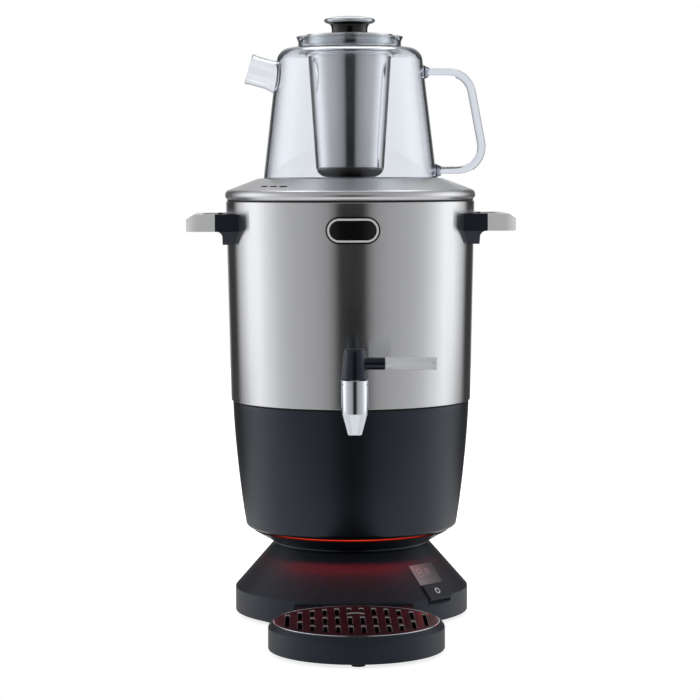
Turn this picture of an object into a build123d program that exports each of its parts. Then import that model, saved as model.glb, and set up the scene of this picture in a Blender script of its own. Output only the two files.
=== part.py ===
"""Electric samovar: powered base, drip tray, lift-off steel kettle with a tap, lid and glass teapot.

Millimetres. +Z is up, the front with the tap is -Y. The origin is on the base's axis, on the standing plane.
"""
import math
import os

from build123d import *

# Clearances
slip = 0.3
seat = 0.1
plug_run = 0.05

# Base
base_r = 92.5
skirt_height = 18.6
base_height = 55.0
shell_wall = 2.5
skirt_round = 1.2
foot_height = 2.5
foot_ring_r = 80.0
foot_ring_width = 9.0
floor_thickness = 2.5
floor_screw_circle_r = 52.0
floor_screw_count = 3
floor_screw_start_angle = 90.0
floor_screw_r = 1.5
floor_screw_length = 12.0
screw_head_r = 2.8
screw_head_height = 1.6
screw_boss_r = 4.5
coupler_post_r = 16.0
coupler_post_rise = 12.0
coupler_flange_r = 26.0
coupler_flange_thickness = 3.5
coupler_pin_r = 4.0
coupler_pin_reach = 9.0
gland_r = 6.0
gland_bore_r = 3.5
gland_flange_r = 8.5
gland_flange_thickness = 2.0
gland_length = 14.0
gland_z = 12.0

# Control panel on the sloping deck, to the right of the front
panel_azimuth = 47.0
panel_width = 26.5
panel_wall = 1.6
panel_depth = 12.0
display_length = 18.5
display_lens_thickness = 2.0
display_sink = 0.3
display_module_margin = 1.2
button_length = 14.0
button_overhang = 1.5
button_thickness = 3.2
button_rise = 0.8
button_travel = 1.2
button_stem_width = 8.0
button_stem_length = 6.0
board_thickness = 1.6
switch_width = 6.0
switch_height = 3.4

# Drip tray
tray_r = 64.8
tray_gap = 10.7
tray_height = 19.6
tray_chamfer_height = 3.5
tray_chamfer_width = 2.6
tray_rim_width = 0.8
tray_wall = 3.4
tray_floor = 2.5
tray_foot_r = 5.0
tray_foot_circle_r = 54.0
tray_foot_count = 3
tray_foot_start_angle = -90.0
tongue_width = 90.8
tongue_reach = 18.0
tongue_height = 13.2
tongue_wall = 2.4
grille_thickness = 2.4
grille_trim_width = 0.9
grille_trim_rise = 0.1
grille_proud = 0.5
slot_width = 3.4
slot_pitch = 9.2
slot_margin = 10.0
slot_bridge = 6.5
slot_least_length = 22.0
finger_hole_r = 7.0
finger_hole_y = 25.0

# Kettle, from the base upwards
pan_height = 11.6
pan_neck_height = 2.2
pan_neck_inset = 1.5
pan_flare = 14.8
pan_wall = 2.5
glow_slot_height = 1.6
glow_slot_depth = 14.1
light_ring_height = 5.8
light_ring_width = 3.4
light_board_width = 3.5
bowl_height = 100.8
bowl_wall = 2.5
bowl_bulge = 1.7
bowl_taper = 10.2
bowl_low_flare = 4.1
bowl_low_rise = 2.2
bowl_sole_lap = 1.7
bowl_flange_width = 5.5
bowl_seal_thickness = 1.0
tank_height = 157.1
tank_top_r = 98.2
tank_taper = 3.3
tank_step = 1.3
tank_wall = 1.0
tank_lip_width = 4.0
tank_sump_depth = 13.0
tank_corner_r = 6.0
heater_plate_inset = 9.0
heater_plate_thickness = 4.0
heater_ring_inset = 10.0
heater_tube_r = 4.0
heater_pin_r = 2.6
heater_pin_length = 22.0
thermostat_r = 12.0
thermostat_height = 9.0
probe_r = 3.0
probe_flange_r = 6.0
probe_flange_thickness = 2.0
probe_rise = 14.0
probe_drop = 12.0
probe_offset = 14.0
probe_place_angle = 25.0
tie_rod_inset = 9.8
tie_rod_count = 3
tie_rod_start_angle = 90.0
tie_rod_r = 2.5
tie_nut_r = 4.6
tie_nut_height = 3.0
tie_boss_r = 7.0
tie_boss_height = 6.0
tie_nut_sink = 1.0
socket_r = 24.0
socket_height = 20.0
socket_flange_r = 29.0
socket_flange_thickness = 3.0

# Side handles
handle_reach = 30.2
handle_joint_reach = 7.7
handle_width = 88.0
handle_arm_width = 10.0
handle_bar_thickness = 12.0
handle_arm_height = 13.4
handle_drop = 9.7
handle_leg_height = 10.4
handle_leg_inset = 11.0
handle_leg_round = 4.5
handle_pad_thickness = 2.8
handle_plan_round = 9.0
handle_edge_round = 2.0
spigot_length = 6.0
spigot_width = 5.0
spigot_height = 7.0
handle_screw_spread = 20.0
handle_screw_r = 2.0
handle_screw_head_r = 4.0
handle_screw_head_height = 2.0
handle_screw_cover = 1.2

# Badge
badge_width = 41.5
badge_height = 20.5
badge_drop = 21.1
badge_plate_thickness = 1.4
badge_rim_inset = 1.3
badge_rim_width = 1.5
badge_rim_proud = 0.5

# Tap
tap_inlet_rise = 14.2
tap_reach = 42.8
tap_r = 10.05
tap_barrel_height = 24.4
tap_nozzle_height = 16.7
tap_nozzle_r = 5.35
tap_groove_drop = 2.7
tap_groove_width = 0.8
tap_groove_depth = 0.5
tap_inlet_offset = 11.8
tap_plug_r = 6.0
tap_plug_length = 20.0
tap_port_r = 3.0
tap_outlet_r = 3.6
tap_neck_r = 7.0
tap_flange_r = 9.0
tap_flange_thickness = 3.0
tap_shank_r = 6.0
tap_shank_length = 16.0
tap_washer_r = 9.4
tap_washer_thickness = 2.0
tap_inner_washer_r = 12.0
tap_nut_across = 22.0
tap_nut_height = 6.0
oring_r = 0.9
oring_drop = 4.0
lever_gap = 0.5
lever_low_r = 10.0
lever_top_r = 7.7
lever_height = 23.2
lever_round = 3.0
lever_arm_drop = 11.8
lever_arm_r = 4.6
lever_arm_reach = 22.4
lever_core_r = 3.4
lever_core_length = 34.0
lever_socket_r = 3.6
lever_socket_depth = 12.0
grip_r = 4.8
grip_length = 38.5
grip_chamfer = 0.8

# Tank lid
gasket_thickness = 1.3
gasket_width = 3.2
lid_overhang = 0.7
lid_height = 16.6
lid_rim_width = 4.4
lid_rim_height = 7.1
lid_crown_land = 1.5
lid_sheet = 1.2
lid_well_clearance = 1.9
lid_well_depth = 6.7
steam_hole_r = 8.0
liner_wall = 2.0
liner_depth = 8.0
steam_slot_count = 3
steam_slot_azimuth = -133.0
steam_slot_pitch = 6.6
steam_slot_inset = 6.5
steam_slot_length = 7.6
steam_slot_width = 2.6

# Glass teapot
pot_height = 117.7
pot_base_r = 68.6
pot_mid_r = 62.5
pot_shoulder_r = 57.2
pot_corner_r = 6.0
pot_shoulder_height = 12.5
pot_shoulder_draw = 4.175
pot_shoulder_swell = 8.75
pot_neck_height = 6.5
pot_neck_r = 40.5
pot_lip_r = 42.3
pot_wall = 2.0
pot_floor = 2.5
spout_r = 11.8
spout_wall = 2.0
spout_slope = 16.0
spout_root_drop = 30.6
spout_root_offset = 2.8
spout_length = 20.0
pot_handle_r = 3.3
pot_handle_top_drop = 28.0
pot_handle_low_rise = 12.2
pot_handle_top_reach = 36.3
pot_handle_low_reach = 39.2
pot_handle_bend = 19.0

# Infuser and teapot lid
infuser_wall = 0.8
infuser_flange_thickness = 0.8
infuser_flange_lap = 1.4
infuser_band_height = 7.4
infuser_bead_proud = 2.2
infuser_bead_height = 5.4
infuser_shoulder = 0.1
infuser_taper = 6.5
infuser_corner_r = 9.0
infuser_depth = 111.2
collar_drop = 0.2
collar_height = 6.4
collar_wall = 5.2
pot_lid_inset = 0.4
pot_lid_rim = 1.0
pot_lid_dome = 1.7
pot_lid_sheet = 1.2
pot_lid_plug_depth = 6.6
knob_neck_r = 14.1
knob_top_r = 19.2
knob_height = 7.6
knob_waist_height = 4.4
knob_flare_out = 1.3
knob_flare_up = 1.7
knob_cap_r = 20.3
knob_cap_thickness = 2.2
knob_cap_dome = 3.4
knob_screw_r = 2.0
knob_screw_head_r = 4.0
knob_screw_head_height = 2.2
knob_screw_length = 6.2

# Heights of the seats, stacked from the standing plane
skirt_top_z = foot_height + skirt_height
base_top_z = base_height
floor_top_z = foot_height + floor_thickness
pan_top_z = base_top_z + pan_height
bowl_bottom_z = pan_top_z + glow_slot_height
bowl_top_z = bowl_bottom_z + bowl_height
tank_foot_z = bowl_top_z + bowl_seal_thickness
tank_top_z = tank_foot_z + tank_height
tank_floor_z = tank_foot_z - tank_sump_depth
lid_bottom_z = tank_top_z + gasket_thickness
lid_top_z = lid_bottom_z + lid_height
well_floor_z = lid_top_z - lid_well_depth
pot_lip_z = well_floor_z + pot_height
pot_neck_z = pot_lip_z - pot_neck_height
pot_shoulder_z = pot_neck_z - pot_shoulder_height
collar_top_z = pot_lip_z - collar_drop
flange_top_z = collar_top_z + infuser_flange_thickness
infuser_floor_z = flange_top_z - infuser_depth
knob_foot_z = flange_top_z + pot_lid_rim + pot_lid_dome

# Radii that follow from one another
tank_foot_r = tank_top_r - tank_taper
bowl_top_r = tank_foot_r - tank_step
bowl_low_r = bowl_top_r - bowl_taper
bowl_mid_r = (bowl_top_r + bowl_low_r) / 2 + bowl_bulge
bowl_sole_r = bowl_low_r - bowl_low_flare
pan_r = bowl_sole_r - bowl_sole_lap
light_ring_r = pan_r - glow_slot_depth
waist_r = pan_r - pan_flare
tie_rod_circle_r = waist_r - tie_rod_inset
heater_plate_r = tie_rod_circle_r - heater_plate_inset
heater_ring_r = heater_plate_r - heater_ring_inset
probe_place_r = heater_plate_r + probe_offset
lid_r = tank_top_r + lid_overhang
lid_well_r = pot_base_r + lid_well_clearance
lid_crown_r = lid_well_r + lid_crown_land
infuser_band_r = pot_neck_r - pot_wall - slip - collar_wall
infuser_bead_r = infuser_band_r + infuser_bead_proud
infuser_flange_r = infuser_band_r + infuser_flange_lap
infuser_top_r = infuser_band_r - infuser_shoulder
infuser_low_r = infuser_top_r - infuser_taper
pot_lid_r = infuser_flange_r - pot_lid_inset

# Places worked out from the sizes
tray_y = -(base_r + tray_gap + tray_r)
tray_top_z = foot_height + tray_height
grille_r = tray_r - tray_chamfer_width - tray_rim_width - slip
ledge_z = tray_top_z + grille_proud - grille_thickness
tap_z = tank_foot_z + tap_inlet_rise
barrel_bottom_z = tap_z - tap_inlet_offset
barrel_top_z = barrel_bottom_z + tap_barrel_height
lever_foot_z = barrel_top_z + lever_gap
lever_arm_z = lever_foot_z + lever_height - lever_arm_drop
handle_top_z = tank_top_z - handle_drop
handle_low_z = handle_top_z - handle_arm_height
UP = (Align.CENTER, Align.CENTER, Align.MIN)


def tank_r(z):
    """Outer radius of the tapered tank at a height."""
    return tank_foot_r + (tank_top_r - tank_foot_r) * (z - tank_foot_z) / tank_height


tap_y = -(tank_r(tap_z) + tap_reach)
handle_tank_r = tank_r(handle_top_z)


def turned(*edges):
    """Solid turned about the vertical axis from the closed section that the edges bound."""
    return revolve(Plane.XZ * make_face(list(edges)), Axis.Z)


def lathe(points, rounds=()):
    """Solid turned about the vertical axis from closed (radius, height) points, some of them rounded."""
    section = make_face(Polyline(*points, close=True))
    for point, radius in rounds:
        section = fillet(section.vertices().sort_by_distance(point)[0], radius)
    return revolve(Plane.XZ * section, Axis.Z)


def upright(radius, bottom, top, x=0.0, y=0.0):
    """Vertical cylinder between two heights."""
    return Pos(x, y, bottom) * Cylinder(radius, top - bottom, align=UP)


def along_y(radius, y_start, length, z, x=0.0):
    """Cylinder that runs in +Y from y_start."""
    return Pos(x, y_start, z) * Rot(-90, 0, 0) * Cylinder(radius, length, align=UP)


def along_x(radius, x_start, length, z, y=0.0):
    """Cylinder that runs in +X from x_start."""
    return Pos(x_start, y, z) * Rot(0, 90, 0) * Cylinder(radius, length, align=UP)


def block(low, high):
    """Box between two corners."""
    size = [b - a for a, b in zip(low, high)]
    return Pos(*low) * Box(*size, align=(Align.MIN, Align.MIN, Align.MIN))


def around(count, radius, start=0.0):
    """Points evenly spaced on a circle."""
    angles = [math.radians(start + 360.0 * i / count) for i in range(count)]
    return [(radius * math.cos(a), radius * math.sin(a)) for a in angles]


def together(solids):
    """Separate solids kept in one node."""
    return Compound(children=[s for item in solids for s in item.solids()])


# Base shell: skirt, sloping deck and flat top
cone_run = base_r - waist_r
cone_rise = base_top_z - skirt_top_z
cone_slant = math.hypot(cone_run, cone_rise)
slope_wall = shell_wall * cone_slant / cone_rise
deck_low_z = base_top_z - shell_wall
inner_skirt_r = base_r - shell_wall
inner_deck_r = waist_r + shell_wall * cone_run / cone_rise - slope_wall
inner_corner_z = base_top_z - (inner_skirt_r + slope_wall - waist_r) * cone_rise / cone_run
pocket_half = tongue_width / 2 + slip
pocket_top_z = floor_top_z + slip + tongue_height + slip
pocket_back_y = -base_r + tongue_reach + slip
floor_screw_places = around(floor_screw_count, floor_screw_circle_r, floor_screw_start_angle)

panel_angle = math.radians(panel_azimuth)
panel_out = Vector(math.sin(panel_angle), -math.cos(panel_angle), 0)
panel_side = Vector(math.cos(panel_angle), math.sin(panel_angle), 0)
panel_normal = panel_out * (cone_rise / cone_slant) + Vector(0, 0, cone_run / cone_slant)
panel = Plane(panel_out * base_r + Vector(0, 0, skirt_top_z), panel_side, panel_normal)
button_top = button_length - button_overhang
display_low = button_top + slip
display_high = display_low + display_length
switch_place = (display_low - slip) / 2


def panel_block(half_width, low, high, deep, proud):
    """Block on the sloping panel: across it, up the slope from the skirt's edge, and along its normal."""
    return panel * block((-half_width, low, deep), (half_width, high, proud))


def base_solid():
    return lathe(
        [
            (0, foot_height),
            (base_r, foot_height),
            (base_r, skirt_top_z),
            (waist_r, base_top_z),
            (0, base_top_z),
        ],
        [((base_r, skirt_top_z), skirt_round)],
    )


def base_shell():
    hollow = lathe([
        (0, foot_height),
        (inner_skirt_r, foot_height),
        (inner_skirt_r, inner_corner_z),
        (inner_deck_r, deck_low_z),
        (0, deck_low_z),
    ])
    well_half = panel_width / 2 + seat
    well = panel_block(
        well_half + panel_wall,
        -button_overhang - button_thickness,
        display_high + seat + panel_wall,
        -panel_depth - panel_wall,
        panel_depth,
    )
    pocket = block(
        (-pocket_half - shell_wall, -base_r, floor_top_z),
        (pocket_half + shell_wall, pocket_back_y + shell_wall, pocket_top_z + shell_wall),
    )
    bosses = [upright(screw_boss_r, floor_top_z, base_top_z, x, y) for x, y in floor_screw_places]
    solid = base_solid()
    inside = hollow - (solid & well) - (solid & pocket) - bosses
    shell = solid - inside
    shell -= upright(coupler_post_r + slip, deck_low_z, base_top_z)
    shell -= upright(inner_skirt_r, foot_height, floor_top_z)
    shell -= block((-pocket_half, -base_r, floor_top_z), (pocket_half, pocket_back_y, pocket_top_z))
    shell -= panel_block(well_half, display_low - slip, display_high + seat, -panel_depth, panel_depth)
    button_floor = -(button_thickness - button_rise) - button_travel - slip
    shell -= panel_block(well_half, -button_length, display_low, button_floor, panel_depth)
    shell -= panel_block(well_half, 0, display_low, -panel_depth, panel_depth)
    hole_top_z = floor_top_z + floor_screw_length
    shell -= [upright(floor_screw_r, floor_top_z, hole_top_z, x, y) for x, y in floor_screw_places]
    shell -= along_y(gland_r + seat, inner_skirt_r - gland_length, 2 * gland_length, gland_z)
    return shell.solids().sort_by(SortBy.VOLUME)[-1]


def base_floor():
    plate = upright(inner_skirt_r - seat, foot_height, floor_top_z)
    for x, y in floor_screw_places:
        plate -= upright(screw_head_r + seat, foot_height, foot_height + screw_head_height, x, y)
        plate -= upright(floor_screw_r + seat, foot_height, floor_top_z, x, y)
    return plate


def base_foot_ring():
    half = foot_ring_width / 2
    return upright(foot_ring_r + half, 0, foot_height) - upright(foot_ring_r - half, 0, foot_height)


def base_floor_screws():
    screws = []
    for x, y in floor_screw_places:
        head = upright(screw_head_r, foot_height, foot_height + screw_head_height, x, y)
        shank_top = foot_height + floor_screw_length - seat
        screws.append(head + upright(floor_screw_r - seat, foot_height, shank_top, x, y))
    return together(screws)


def coupler_pedestal():
    flange_low_z = deck_low_z - coupler_flange_thickness
    top_z = base_top_z + coupler_post_rise
    post = upright(coupler_post_r, flange_low_z, top_z)
    flange = upright(coupler_flange_r, flange_low_z, deck_low_z)
    bore = upright(coupler_pin_r + 2 * slip, top_z - coupler_pin_reach - 2 * slip, top_z)
    return post + flange - bore


def cord_gland():
    flange_y = base_r + gland_flange_thickness
    body = along_y(gland_r, flange_y - gland_length, gland_length, gland_z)
    flange = along_y(gland_flange_r, inner_skirt_r, flange_y - inner_skirt_r, gland_z)
    flange -= upright(base_r, 0, base_top_z)
    bore = along_y(gland_bore_r, flange_y - gland_length, gland_length, gland_z)
    return body + flange - bore


def control_board():
    return panel_block(panel_width / 2, 0, display_high, -panel_depth, -panel_depth + board_thickness)


def display_module():
    low = -panel_depth + board_thickness
    high = -display_sink - display_lens_thickness
    margin = display_module_margin
    return panel_block(panel_width / 2 - margin, display_low + margin, display_high - margin, low, high)


def display_lens():
    return panel_block(
        panel_width / 2, display_low, display_high, -display_sink - display_lens_thickness, -display_sink
    )


def button_switch():
    low = -panel_depth + board_thickness
    half = switch_width / 2
    return panel_block(half, switch_place - half, switch_place + half, low, low + switch_height)


def power_button():
    under = button_rise - button_thickness
    cap = panel_block(panel_width / 2 + seat - slip, -button_overhang, button_top, under, button_rise)
    stem_low = -panel_depth + board_thickness + switch_height + button_travel + slip
    half = button_stem_length / 2
    stem = panel_block(button_stem_width / 2, switch_place - half, switch_place + half, stem_low, button_rise)
    return cap + stem


def tray_pan():
    rim_r = tray_r - tray_chamfer_width
    seat_r = rim_r - tray_rim_width
    pan = lathe([
        (0, foot_height),
        (tray_r, foot_height),
        (tray_r, tray_top_z - tray_chamfer_height),
        (rim_r, tray_top_z),
        (seat_r, tray_top_z),
        (seat_r, ledge_z),
        (seat_r - tray_wall, ledge_z),
        (seat_r - tray_wall, foot_height + tray_floor),
        (0, foot_height + tray_floor),
    ])
    tongue_low_z = floor_top_z + slip
    tongue_top_z = tongue_low_z + tongue_height
    tongue_end_y = -base_r + tongue_reach
    half = tongue_width / 2
    tongue = block((-half, tray_y, tongue_low_z), (half, tongue_end_y, tongue_top_z))
    tongue -= block(
        (-half + tongue_wall, tray_y, tongue_low_z),
        (half - tongue_wall, tongue_end_y - tongue_wall, tongue_top_z - tongue_wall),
    )
    tongue -= upright(tray_r - tray_wall, 0, tray_top_z, 0, tray_y)
    return Pos(0, tray_y, 0) * pan + tongue


def tray_feet():
    places = around(tray_foot_count, tray_foot_circle_r, tray_foot_start_angle)
    return together([upright(tray_foot_r, 0, foot_height, x, tray_y + y) for x, y in places])


def grille_slots():
    """Slots in columns across the grille, each column shared out over its chord, clear of the finger hole."""
    slots = []
    hole_clear = finger_hole_y + finger_hole_r + slot_bridge
    columns = int((grille_r - slot_margin) / slot_pitch + 0.5)
    for i in range(columns):
        x = slot_pitch * (i + 0.5)
        half = math.sqrt(grille_r ** 2 - x ** 2) - slot_margin
        rows = max(1, int((2 * half + slot_bridge) / (slot_least_length + slot_bridge)))
        length = (2 * half + slot_bridge) / rows - slot_bridge
        for row in range(rows):
            low = -half + row * (length + slot_bridge)
            high = low + length
            if x < finger_hole_r and high > finger_hole_y:
                low = hole_clear
            slot = Pos(0, (low + high) / 2) * SlotOverall(high - low, slot_width, rotation=90)
            slots += [Pos(side * x, 0) * slot for side in (-1, 1)]
    return slots


def tray_grille():
    finger_hole = Pos(0, finger_hole_y) * (
        Circle(finger_hole_r) & Pos(0, finger_hole_r / 2) * Rectangle(2 * finger_hole_r, finger_hole_r)
    )
    sheet = Circle(grille_r - grille_trim_width - seat) - grille_slots() - finger_hole
    return Pos(0, tray_y, ledge_z) * extrude(sheet, grille_thickness)


def grille_trim():
    top_z = ledge_z + grille_thickness + grille_trim_rise
    ring = upright(grille_r, ledge_z, top_z) - upright(grille_r - grille_trim_width, ledge_z, top_z)
    return Pos(0, tray_y, 0) * ring


# Kettle bottom: pan, light ring, bowl and what they hold
pan_flare_z = base_top_z + pan_neck_height
pan_neck_r = waist_r - pan_neck_inset
pan_slope = (pan_top_z - pan_flare_z) / (pan_r - pan_neck_r)
pan_inner_r = pan_r - pan_wall * math.hypot(1, pan_slope) / pan_slope
pan_floor_top_z = base_top_z + pan_wall
pan_floor_r = pan_inner_r - (pan_top_z - pan_floor_top_z) / pan_slope
tie_rod_places = around(tie_rod_count, tie_rod_circle_r, tie_rod_start_angle)
tie_seat_z = base_top_z + tie_nut_sink + tie_nut_height
light_ring_low_z = bowl_bottom_z - light_ring_height
light_board_r = light_ring_r - light_ring_width - seat
heater_low_z = tank_floor_z - heater_plate_thickness
bowl_low_z = bowl_bottom_z + bowl_low_rise
bowl_mid_z = (bowl_top_z + bowl_low_z) / 2
bowl_slope = (bowl_top_r - bowl_mid_r) / (bowl_top_z - bowl_mid_z)
bowl_sump_r = bowl_top_r - bowl_slope * (bowl_top_z - tank_floor_z)
sump_r = min(bowl_top_r, bowl_sump_r) - bowl_wall - slip
probe_x = probe_place_r * math.cos(math.radians(probe_place_angle))
probe_y = probe_place_r * math.sin(math.radians(probe_place_angle))


def bottom_pan():
    foot_z = base_top_z + pan_neck_inset
    foot = [(0, base_top_z), (waist_r, base_top_z), (pan_neck_r, foot_z)]
    outside = [*foot, (pan_neck_r, pan_flare_z), (pan_r, pan_top_z)]
    inside = [(pan_inner_r, pan_top_z), (pan_floor_r, pan_floor_top_z), (0, pan_floor_top_z)]
    pan = lathe(outside + inside)
    pan += [upright(tie_boss_r, base_top_z, base_top_z + tie_boss_height, x, y) for x, y in tie_rod_places]
    ring_seat = upright(light_ring_r, base_top_z, light_ring_low_z) & lathe([*outside, (0, pan_top_z)])
    pan += ring_seat - upright(light_board_r - light_board_width, base_top_z, light_ring_low_z)
    pan -= upright(socket_r + seat, base_top_z, pan_floor_top_z)
    for x, y in tie_rod_places:
        pan -= upright(tie_nut_r + slip, base_top_z, tie_seat_z, x, y)
        pan -= upright(tie_rod_r + seat, base_top_z, base_top_z + tie_boss_height, x, y)
    return pan


def light_ring():
    ring = upright(light_ring_r, light_ring_low_z, bowl_bottom_z)
    return ring - upright(light_ring_r - light_ring_width, light_ring_low_z, bowl_bottom_z)


def light_board():
    top_z = light_ring_low_z + board_thickness
    board = upright(light_board_r, light_ring_low_z, top_z)
    return board - upright(light_board_r - light_board_width, light_ring_low_z, top_z)


def lower_bowl():
    flange_r = light_ring_r - bowl_flange_width
    sole_top_z = bowl_bottom_z + bowl_wall
    outer = ThreePointArc((bowl_top_r, bowl_top_z), (bowl_mid_r, bowl_mid_z), (bowl_low_r, bowl_low_z))
    sole = Polyline((bowl_low_r, bowl_low_z), (bowl_sole_r, bowl_bottom_z), (flange_r, bowl_bottom_z))
    flange = Polyline(
        (flange_r, bowl_bottom_z),
        (flange_r, sole_top_z),
        (bowl_sole_r - bowl_wall / 2, sole_top_z),
        (bowl_low_r - bowl_wall, bowl_low_z + bowl_wall / 2),
    )
    inner = ThreePointArc(
        (bowl_low_r - bowl_wall, bowl_low_z + bowl_wall / 2),
        (bowl_mid_r - bowl_wall, bowl_mid_z),
        (bowl_top_r - bowl_wall, bowl_top_z),
    )
    rim = Line((bowl_top_r - bowl_wall, bowl_top_z), (bowl_top_r, bowl_top_z))
    return turned(outer, *sole.edges(), *flange.edges(), *inner.edges(), rim)


def bowl_seal():
    inner_r = bowl_top_r - bowl_wall
    return upright(bowl_top_r, bowl_top_z, tank_foot_z) - upright(inner_r, bowl_top_z, tank_foot_z)


def tank_solid(grow=0.0):
    """The tapered outside of the tank, as a full solid, larger all round by grow."""
    return lathe([
        (0, tank_foot_z - grow),
        (tank_foot_r + grow, tank_foot_z),
        (tank_top_r + grow, tank_top_z),
        (0, tank_top_z + grow),
    ])


def tank():
    outside = lathe(
        [
            (0, tank_floor_z),
            (sump_r, tank_floor_z),
            (sump_r, tank_foot_z),
            (tank_foot_r, tank_foot_z),
            (tank_top_r, tank_top_z),
            (0, tank_top_z),
        ],
        [((sump_r, tank_floor_z), tank_corner_r)],
    )
    inside = lathe(
        [
            (0, tank_floor_z + tank_wall),
            (sump_r - tank_wall, tank_floor_z + tank_wall),
            (sump_r - tank_wall, tank_foot_z + tank_wall),
            (tank_foot_r - tank_wall, tank_foot_z + tank_wall),
            (tank_top_r - tank_wall, tank_top_z - tank_wall),
            (0, tank_top_z - tank_wall),
        ],
        [((sump_r - tank_wall, tank_floor_z + tank_wall), tank_corner_r - tank_wall)],
    )
    vessel = outside - inside - upright(tank_top_r - tank_lip_width, tank_top_z - 2 * tank_wall, tank_top_z)
    vessel -= along_y(tap_shank_r + seat, -tank_top_r, tank_top_r / 2, tap_z)
    vessel -= upright(probe_r + seat, tank_floor_z, tank_floor_z + tank_wall, probe_x, probe_y)
    for side in (-1, 1):
        for y in (-handle_screw_spread, handle_screw_spread):
            x = -tank_top_r if side < 0 else tank_top_r / 2
            vessel -= along_x(handle_screw_r + seat, x, tank_top_r / 2, handle_screw_z, y)
    return vessel


def heater_plate():
    return upright(heater_plate_r, heater_low_z, tank_floor_z)


def heater_element():
    centre_z = heater_low_z - heater_tube_r
    pin_low_z = centre_z - heater_tube_r - heater_pin_length
    ring = Pos(0, 0, centre_z) * Torus(heater_ring_r, heater_tube_r)
    pins = [upright(heater_pin_r, pin_low_z, centre_z, 0, y) for y in (-heater_ring_r, heater_ring_r)]
    return ring + pins


def thermostat():
    return upright(thermostat_r, heater_low_z - thermostat_height, heater_low_z)


def temperature_probe():
    stem = upright(probe_r, tank_floor_z - probe_drop, tank_floor_z + probe_rise, probe_x, probe_y)
    stem = fillet(stem.edges().sort_by(Axis.Z)[-1], probe_r / 2)
    flange_low_z = tank_floor_z - probe_flange_thickness
    return stem + upright(probe_flange_r, flange_low_z, tank_floor_z, probe_x, probe_y)


def tie_rods():
    low_z = base_top_z + tie_nut_sink
    return together([upright(tie_rod_r, low_z, tank_floor_z, x, y) for x, y in tie_rod_places])


def tie_rod_nuts():
    nut = extrude(RegularPolygon(tie_nut_r, 6) - Circle(tie_rod_r + plug_run), tie_nut_height)
    return together([Pos(x, y, base_top_z + tie_nut_sink) * nut for x, y in tie_rod_places])


def coupler_socket():
    top_z = base_top_z + socket_height
    body = upright(socket_r, base_top_z, top_z)
    body += upright(socket_flange_r, pan_floor_top_z, pan_floor_top_z + socket_flange_thickness)
    body -= upright(coupler_post_r + 2 * slip, base_top_z, base_top_z + coupler_post_rise + slip)
    pin_low_z = base_top_z + coupler_post_rise - coupler_pin_reach + slip
    return body + upright(coupler_pin_r, pin_low_z, top_z)


# Side handles
handle_screw_z = handle_top_z - handle_arm_height / 2
joint_x = handle_tank_r + handle_joint_reach
grip_x = handle_tank_r + handle_reach
pad_x = handle_tank_r + handle_pad_thickness
leg_x = pad_x - handle_pad_thickness / 4
leg_low_z = handle_low_z - handle_leg_height


def spigots(grow):
    """Tenons on the grip's arms, larger all round by grow for their sockets."""
    y_mid = handle_width / 2 - handle_arm_width / 2
    z_mid = handle_top_z - handle_arm_height / 2
    half_y = spigot_width / 2 + grow
    half_z = spigot_height / 2 + grow
    return [
        block(
            (joint_x - spigot_length - grow, y - half_y, z_mid - half_z),
            (joint_x, y + half_y, z_mid + half_z),
        )
        for y in (-y_mid, y_mid)
    ]


def handle_bracket():
    """Bracket of the right side: curved pad on the tank, a leg below it, and two arms."""
    half = handle_width / 2
    side_view = make_face([
        *Polyline((leg_x, leg_low_z), (0, leg_low_z), (0, handle_top_z), (joint_x, handle_top_z)).edges(),
        *Polyline(
            (joint_x, handle_top_z), (joint_x, handle_low_z), (leg_x + handle_leg_round, handle_low_z)
        ).edges(),
        RadiusArc(
            (leg_x + handle_leg_round, handle_low_z),
            (leg_x, handle_low_z - handle_leg_round),
            -handle_leg_round,
        ),
        Line((leg_x, handle_low_z - handle_leg_round), (leg_x, leg_low_z)),
    ])
    front_view = Polygon(
        (-half, handle_top_z),
        (-half, handle_low_z),
        (-half + handle_leg_inset, leg_low_z),
        (half - handle_leg_inset, leg_low_z),
        (half, handle_low_z),
        (half, handle_top_z),
        align=None,
    )
    body = extrude(Plane.XZ * side_view, half, both=True)
    body = body & extrude(Plane.YZ * front_view, joint_x)
    body -= tank_solid(seat)
    finger_half = half - handle_arm_width
    body -= block((pad_x, -finger_half, leg_low_z), (joint_x, finger_half, handle_top_z))
    body -= spigots(seat)
    for y in (-handle_screw_spread, handle_screw_spread):
        body -= along_x(handle_screw_r + plug_run, 0, pad_x - handle_screw_cover, handle_screw_z, y)
    return body


def handle_grip():
    """Silver U-shaped grip of the right side."""
    half = handle_width / 2
    inner_half = half - handle_arm_width
    bar_x = grip_x - handle_bar_thickness
    plan = make_face(Polyline((joint_x, -half), (grip_x, -half), (grip_x, half), (joint_x, half), close=True))
    for y in (-half, half):
        plan = fillet(plan.vertices().sort_by_distance((grip_x, y))[0], handle_plan_round)
    plan -= make_face(Polyline(
        (joint_x, -inner_half), (bar_x, -inner_half), (bar_x, inner_half), (joint_x, inner_half), close=True,
    ))
    grip = Pos(0, 0, handle_low_z) * extrude(plan, handle_arm_height)

    def inner(point):
        """Whether a point is on the finger gap's wall."""
        return point.X < bar_x + seat and abs(point.Y) < inner_half + seat

    top_edges = grip.faces().sort_by(Axis.Z)[-1].edges()
    low_edges = grip.faces().sort_by(Axis.Z)[0].edges()
    outer = [e for e in top_edges + low_edges if e.center().X > joint_x + seat and not inner(e.center())]
    return fillet(outer, handle_edge_round) + spigots(0)


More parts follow.
